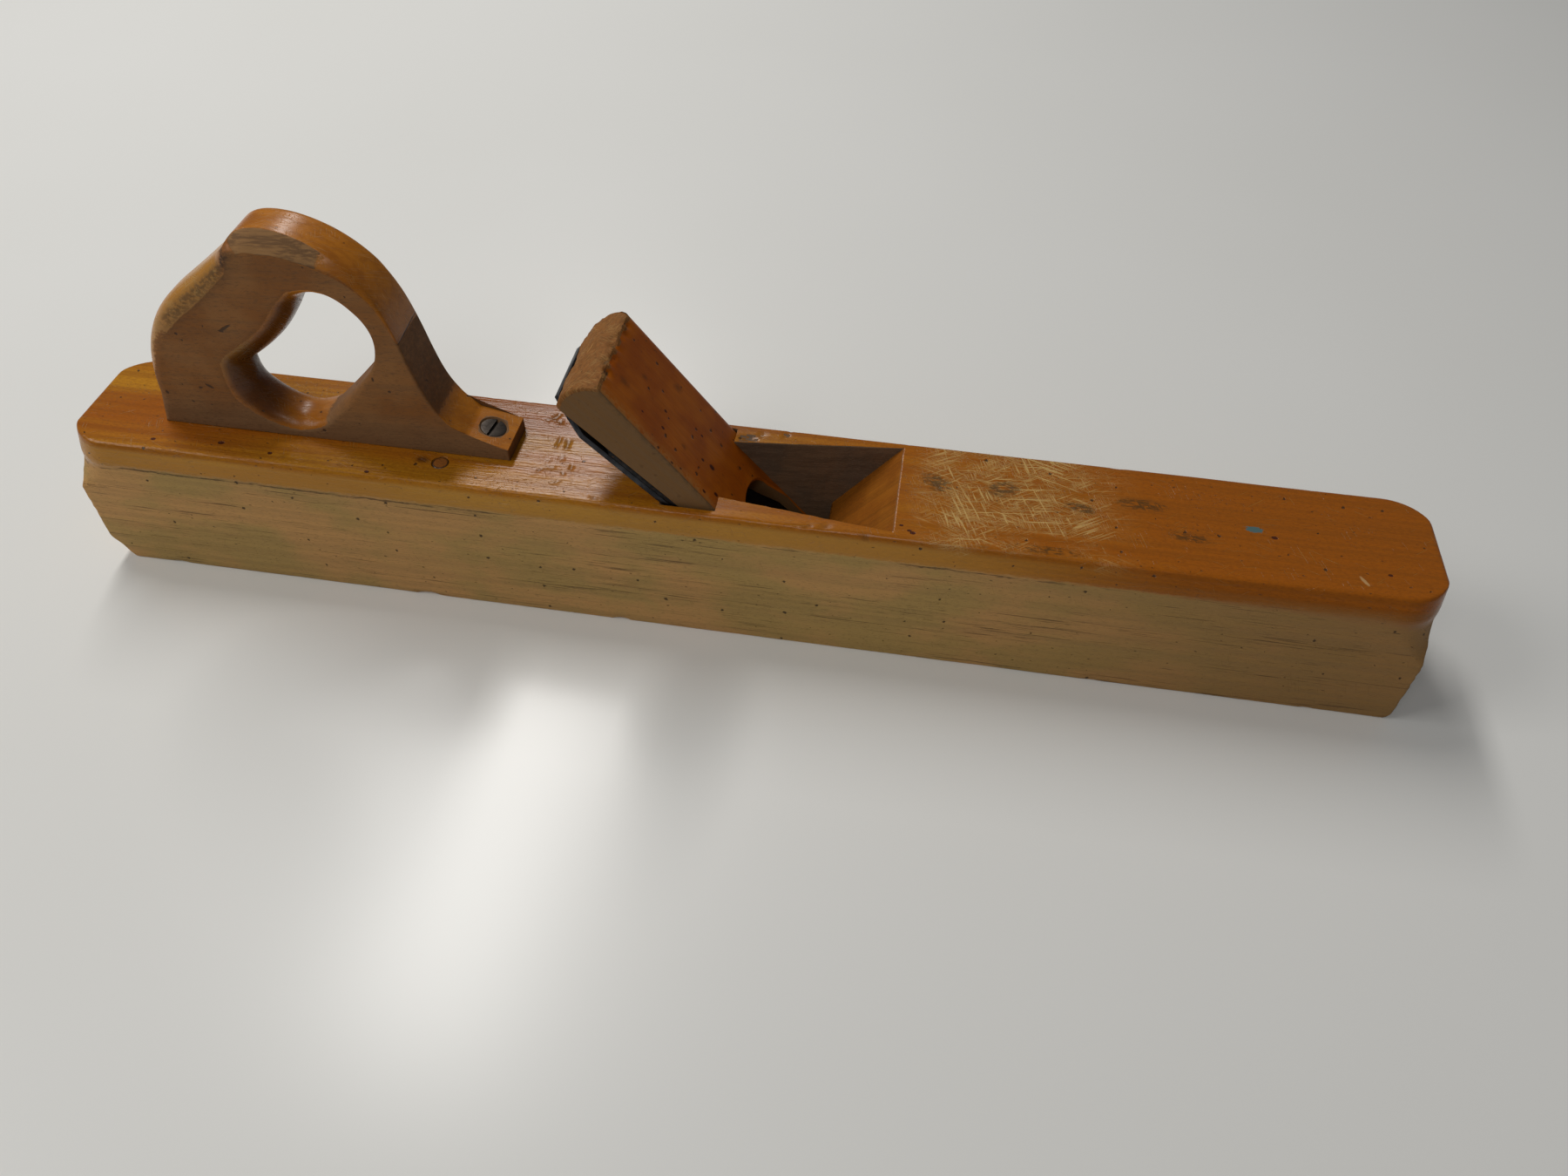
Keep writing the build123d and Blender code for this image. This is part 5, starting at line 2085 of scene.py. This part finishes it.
@dataclass
class Wedge:
    """The forked wedge: a tapered board with a bruised, rounded top end."""

    tip: float = 28.0
    rear: float = 5.5
    crown: tuple[float, float, float] = (174.0, 176.4, 168.4)
    crown_middle: float = 13.5
    arch_top: float = 73.9
    arch_half: float = 17.0
    arch_foot: float = 62.0
    fork_foot: tuple[float, float] = (46.5, 23.0)
    recess: tuple[float, float, float] = (24.0, 7.2, 110.0)
    arris: float = 0.8
    half: float = field(init=False)

    def __post_init__(self) -> None:
        """Takes the wedge's width from its CAD node."""
        low, high = node_box("wedge")
        self.half = float(high[1] - low[1]) / 2

    def end_height(self, across: Array, out: Array) -> Array:
        """Height of the top end: a parabola through its three levels, turned down at both sides.

        Args:
            across: Distance across the bed.
            out: Distance out of the bed.

        Returns:
            Distance up the bed.
        """
        rear, middle, front = self.crown
        front_out = float(BED.wedge_front(np.array(front)))
        fit = np.polyfit([self.rear, self.crown_middle, front_out], [rear, middle, front], 2)
        far = np.clip(across - (self.half - 9.0), 0.0, 9.0)
        near = np.clip(-across - (self.half - 2.5), 0.0, 2.5)
        behind = rise(out, front_out - 2.0, self.rear + 3.0)
        drop = (9.0 - np.sqrt(81.0 - far**2 * 0.98)) * behind + (2.5 - np.sqrt(6.25 - near**2 * 0.98)) * 0.35
        return np.polyval(fit, out) + 1.2 - drop

    def rings(self) -> tuple[Array, Array]:
        """The wedge's outside, as rings from its tip to its top end.

        A ring is the tapered section with its edges eased. Near the top the rings pull in and climb
        by a quarter circle, so that the end's arris is round, and the last rings cover the end.

        Returns:
            The rings, and how far each ring is up the end, from 0 on the sides to 1 on the end.
        """
        share = np.linspace(0.0, 1.0, 84)
        flat = rounded_polygon(
            ((self.half, 0.0), (self.half, 1.0), (-self.half, 1.0), (-self.half, 0.0)),
            (0.045, 0.045, 0.045, 0.045), (0.05, 1.3, 0.05, 1.3), 4,
        )
        across, level = flat[:, 0], np.clip(flat[:, 1], 0.0, 1.0)
        far_front = np.clip((across - (self.half - 3.4)) / 3.4, 0.0, 1.0)
        level = np.minimum(level, 1.0 - 0.15 * (1 - np.sqrt(1 - 0.98 * far_front**2)))
        edge_up = self.end_height(across, self.rear + level * 21.0)
        up = self.tip + (edge_up - self.tip - self.arris)[None] * share[:, None]
        out = self.rear + level[None] * (BED.wedge_front(up) - self.rear)
        across = np.broadcast_to(across[None], up.shape)
        sides = np.stack([up, across, out], axis=-1)
        middle = np.array([0.0, 0.0, out[-1].mean()])
        caps = []
        quarter = np.radians([25.0, 50.0, 72.0, 90.0])
        for angle in quarter:
            pull = self.arris * (1 - math.cos(angle))
            towards = [np.zeros_like(out[-1]), middle[1] - across[-1], middle[2] - out[-1]]
            inward = unit(np.stack(towards, axis=-1))
            ring = sides[-1] + inward * pull
            ring[:, 0] = self.end_height(ring[:, 1], ring[:, 2]) - self.arris * (1 - math.sin(angle))
            caps.append(ring)
        last = caps[-1]
        for shrink in (0.94, 0.86, 0.76, 0.66, 0.55, 0.44, 0.33, 0.22, 0.11):
            ring = middle + (last - middle) * shrink
            ring[:, 0] = self.end_height(ring[:, 1], ring[:, 2])
            caps.append(ring)
        rings = np.concatenate([sides, np.stack(caps)])
        on_end = np.concatenate([np.zeros(len(sides)), [0.25, 0.5, 0.8, 1.0], np.ones(9)])
        return rings, on_end

    def worn(self, rings: Array, on_end: Array) -> Array:
        """The rings in the frame, with mallet bruises on the end and a ragged front arris.

        Args:
            rings: Rings in bed coordinates.
            on_end: How far each ring is up the end.

        Returns:
            Rings in the frame.
        """
        points = rings.copy()
        fringe = np.exp(-(((rings[..., 0] - self.end_height(rings[..., 1], rings[..., 2])) / 3.0) ** 2))
        front = rise(rings[..., 2] - BED.wedge_front(rings[..., 0]), -3.5, -0.5)
        torn = np.clip(Ripple(5.0, 1.0, 41).at(rings) + 0.25, -0.2, 1.6) * fringe * front
        inner = rise(np.abs(rings[..., 1]), self.half - 2.0, self.half - 9.0)
        points[..., 2] -= torn * 0.95 * inner
        points[..., 0] -= torn * 0.5 * inner
        cover = on_end[:, None]
        points[..., 0] += cover * (Ripple(14.0, 0.45, 42).at(rings) + Ripple(3.2, 0.14, 43).at(rings))
        sides = rise(np.abs(rings[..., 1]), self.half - 1.0, self.half - 0.2) * (1 - cover)
        points[..., 1] -= np.sign(rings[..., 1]) * sides * np.abs(Ripple(22.0, 0.12, 44).at(rings))
        pits = np.clip(Ripple(7.0, 1.0, 45).at(rings) - 1.6, 0.0, 1.0) * 0.5
        points[..., 2] -= pits * front * (1 - cover)
        return BED.in_frame(points)

    def fork_tool(self) -> bpy.types.Object:
        """Cuts the arch and the gap between the prongs, with an eased rim on the wedge's front.

        Returns:
            The tool.
        """
        turn = np.linspace(0.0, math.pi, 25)
        arch_rise = self.arch_top - self.arch_foot
        arc = np.column_stack([self.arch_half * np.cos(turn), self.arch_foot + arch_rise * np.sin(turn)])
        foot_up, foot_half = self.fork_foot
        low = self.tip - 6
        leg = np.array([(-foot_half, foot_up), (-foot_half, low), (foot_half, low), (foot_half, foot_up)])
        flat = np.concatenate([arc, leg])
        ease = 1.2
        depth = ease * np.array([1.0, 0.6, 0.3, 0.1])
        flare = ease - np.sqrt(ease**2 - (ease - depth) ** 2)
        surface = BED.wedge_front(flat[:, 1])
        rings = [raised(flat[:, ::-1], 2.0)]
        for deep, by in zip([*depth, -2.0], [*flare, 1.9 * ease]):
            wide = grown(flat, by)
            rings.append(np.column_stack([wide[:, 1], wide[:, 0], surface - deep]))
        return new_piece("fork_tool", *sleeve(BED.in_frame(np.array(rings))))

    def recess_tool(self) -> bpy.types.Object:
        """Cuts the hollow in the rear face that clears the cap iron's boss.

        Returns:
            The tool.
        """
        wide, deep, top = self.recess
        turn = np.linspace(0.0, math.pi, 19)
        arc = np.column_stack([wide / 2 * np.cos(turn), top - wide / 2 + wide / 2 * np.sin(turn)])
        flat = np.concatenate([arc, [(-wide / 2, self.arch_foot), (wide / 2, self.arch_foot)]])
        rings = np.array([raised(flat[:, ::-1], n) for n in (2.0, self.rear + deep)])
        return new_piece("recess_tool", *sleeve(BED.in_frame(rings)))

    def build(self) -> None:
        """Builds the wedge and stores its zones: front, top and rim."""
        rings, on_end = self.rings()
        wedge = new_piece("wedge_board", *sleeve(self.worn(rings, on_end)))
        combine(wedge, self.fork_tool())
        combine(wedge, self.recess_tool())
        points = points_of(wedge)
        x, y, z = points.T
        up, out = (BED.foot - x + z) / ROOT2, (x - BED.foot + z) / ROOT2
        to_front = out - BED.wedge_front(up)
        to_end = self.end_height(y, out) - up
        paint(wedge, "front", rise(to_front, -1.6, -0.2) * rise(np.abs(y), self.half - 0.1, self.half - 0.8))
        paint(wedge, "top", rise(to_end, 2.2, 0.4))
        rim = np.exp(-(((np.abs(y) - self.half) / 1.2) ** 2) - (to_front / 1.5) ** 2)
        paint(wedge, "rim", rim)
        wedge.data.materials.clear()
        wedge.data.materials.append(WedgeFinish().material())
        shade(wedge, 38.0)
        finish_piece(wedge, "wedge", ["wedge"])


# --- Studio ------------------------------------------------------------------------------------


@dataclass(frozen=True)
class Panel:
    """A soft rectangular light that looks at a point."""

    name: str
    place: tuple[float, float, float]
    aim: tuple[float, float, float]
    size: tuple[float, float]
    power: float
    colour: Colour = (1.0, 0.98, 0.95)

    def build(self) -> None:
        """Adds the light."""
        light = bpy.data.lights.new(self.name, "AREA")
        light.shape, light.size, light.size_y = "RECTANGLE", self.size[0], self.size[1]
        light.energy, light.color = self.power, self.colour
        lamp = bpy.data.objects.new(self.name, light)
        lamp.location = self.place
        towards = Vector(self.aim) - Vector(self.place)
        lamp.rotation_mode = "QUATERNION"
        lamp.rotation_quaternion = towards.to_track_quat("-Z", "Y")
        bpy.context.scene.collection.objects.link(lamp)


@dataclass
class Studio:
    """Pale floor, pale soft light and the camera. Its places are in metres."""

    camera_place: tuple[float, float, float] = (0.08261, -0.40416, 0.45092)
    yaw: float = -0.13973
    pitch: float = 0.83821
    roll: float = 0.02104
    lens: float = 26.652
    floor_half: float = 6.0
    panels: Sequence[Panel] = (
        Panel("ceiling_strip", (-0.80, 1.35, 2.0), (-0.80, 1.351, 0.0), (0.34, 2.0), 34.0),
        Panel("left_window", (-2.1, -0.6, 1.8), (-0.2, 0.0, 0.0), (1.2, 1.2), 18.0),
        Panel("front_fill", (-0.5, -1.9, 2.2), (-0.2, 0.0, 0.0), (1.5, 0.8), 13.5),
    )

    def build(self) -> None:
        """Builds the floor, the lights and the camera."""
        scene = bpy.context.scene
        scene.view_settings.view_transform = "Standard"
        h = self.floor_half
        corners = np.array([(-h, -h, 0.0), (h, -h, 0.0), (h, h, 0.0), (-h, h, 0.0)]) / MM
        floor = new_piece("floor", corners, [(0, 1, 2, 3)])
        material, w, shader = new_material("pale_floor")
        tint = w.noise(w.scaled(w.place(), (1 / 300,) * 3), 2.0, 0.5)
        w.feed(shader, {"Base Color": w.mix(tint, (0.80, 0.80, 0.77), (0.84, 0.84, 0.82))})
        shader.inputs["Roughness"].default_value = 0.26
        floor.data.materials.append(material)
        for panel in self.panels:
            panel.build()
        world = bpy.data.worlds.new("pale_room")
        world.use_nodes = True
        world.node_tree.nodes["Background"].inputs[0].default_value = (0.93, 0.96, 1.0, 1.0)
        world.node_tree.nodes["Background"].inputs[1].default_value = 0.105
        scene.world = world
        self.build_camera()

    def build_camera(self) -> None:
        """Adds the camera, turned by its yaw, its pitch below the horizon and its roll."""
        ahead = math.cos(self.pitch)
        forward = np.array([math.sin(self.yaw) * ahead, math.cos(self.yaw) * ahead, -math.sin(self.pitch)])
        level = np.array([math.cos(self.yaw), -math.sin(self.yaw), 0.0])
        upright = np.cross(level, forward)
        c, s = math.cos(self.roll), math.sin(self.roll)
        right, up = c * level + s * upright, c * upright - s * level
        data = bpy.data.cameras.new("camera")
        data.sensor_width, data.lens, data.clip_start = 36.0, self.lens, 0.01
        camera = bpy.data.objects.new("camera", data)
        turn = Matrix(np.column_stack([right, up, -forward]).tolist()).to_4x4()
        camera.matrix_world = Matrix.Translation(self.camera_place) @ turn
        bpy.context.scene.collection.objects.link(camera)
        bpy.context.scene.camera = camera


def main() -> None:
    """Builds the try plane and its studio, in order."""
    logging.basicConfig(level=logging.INFO, format="%(name)s %(message)s")
    Stock().build()
    screw = TailScrew()
    handle = Handle().build()
    combine(handle, screw.countersink())
    shade(handle, 40.0)
    finish_piece(handle, "stock", ["handle"])
    screw.build()
    DoubleIron().build()
    Wedge().build()
    Studio().build()


if __name__ == "__main__":
    main()
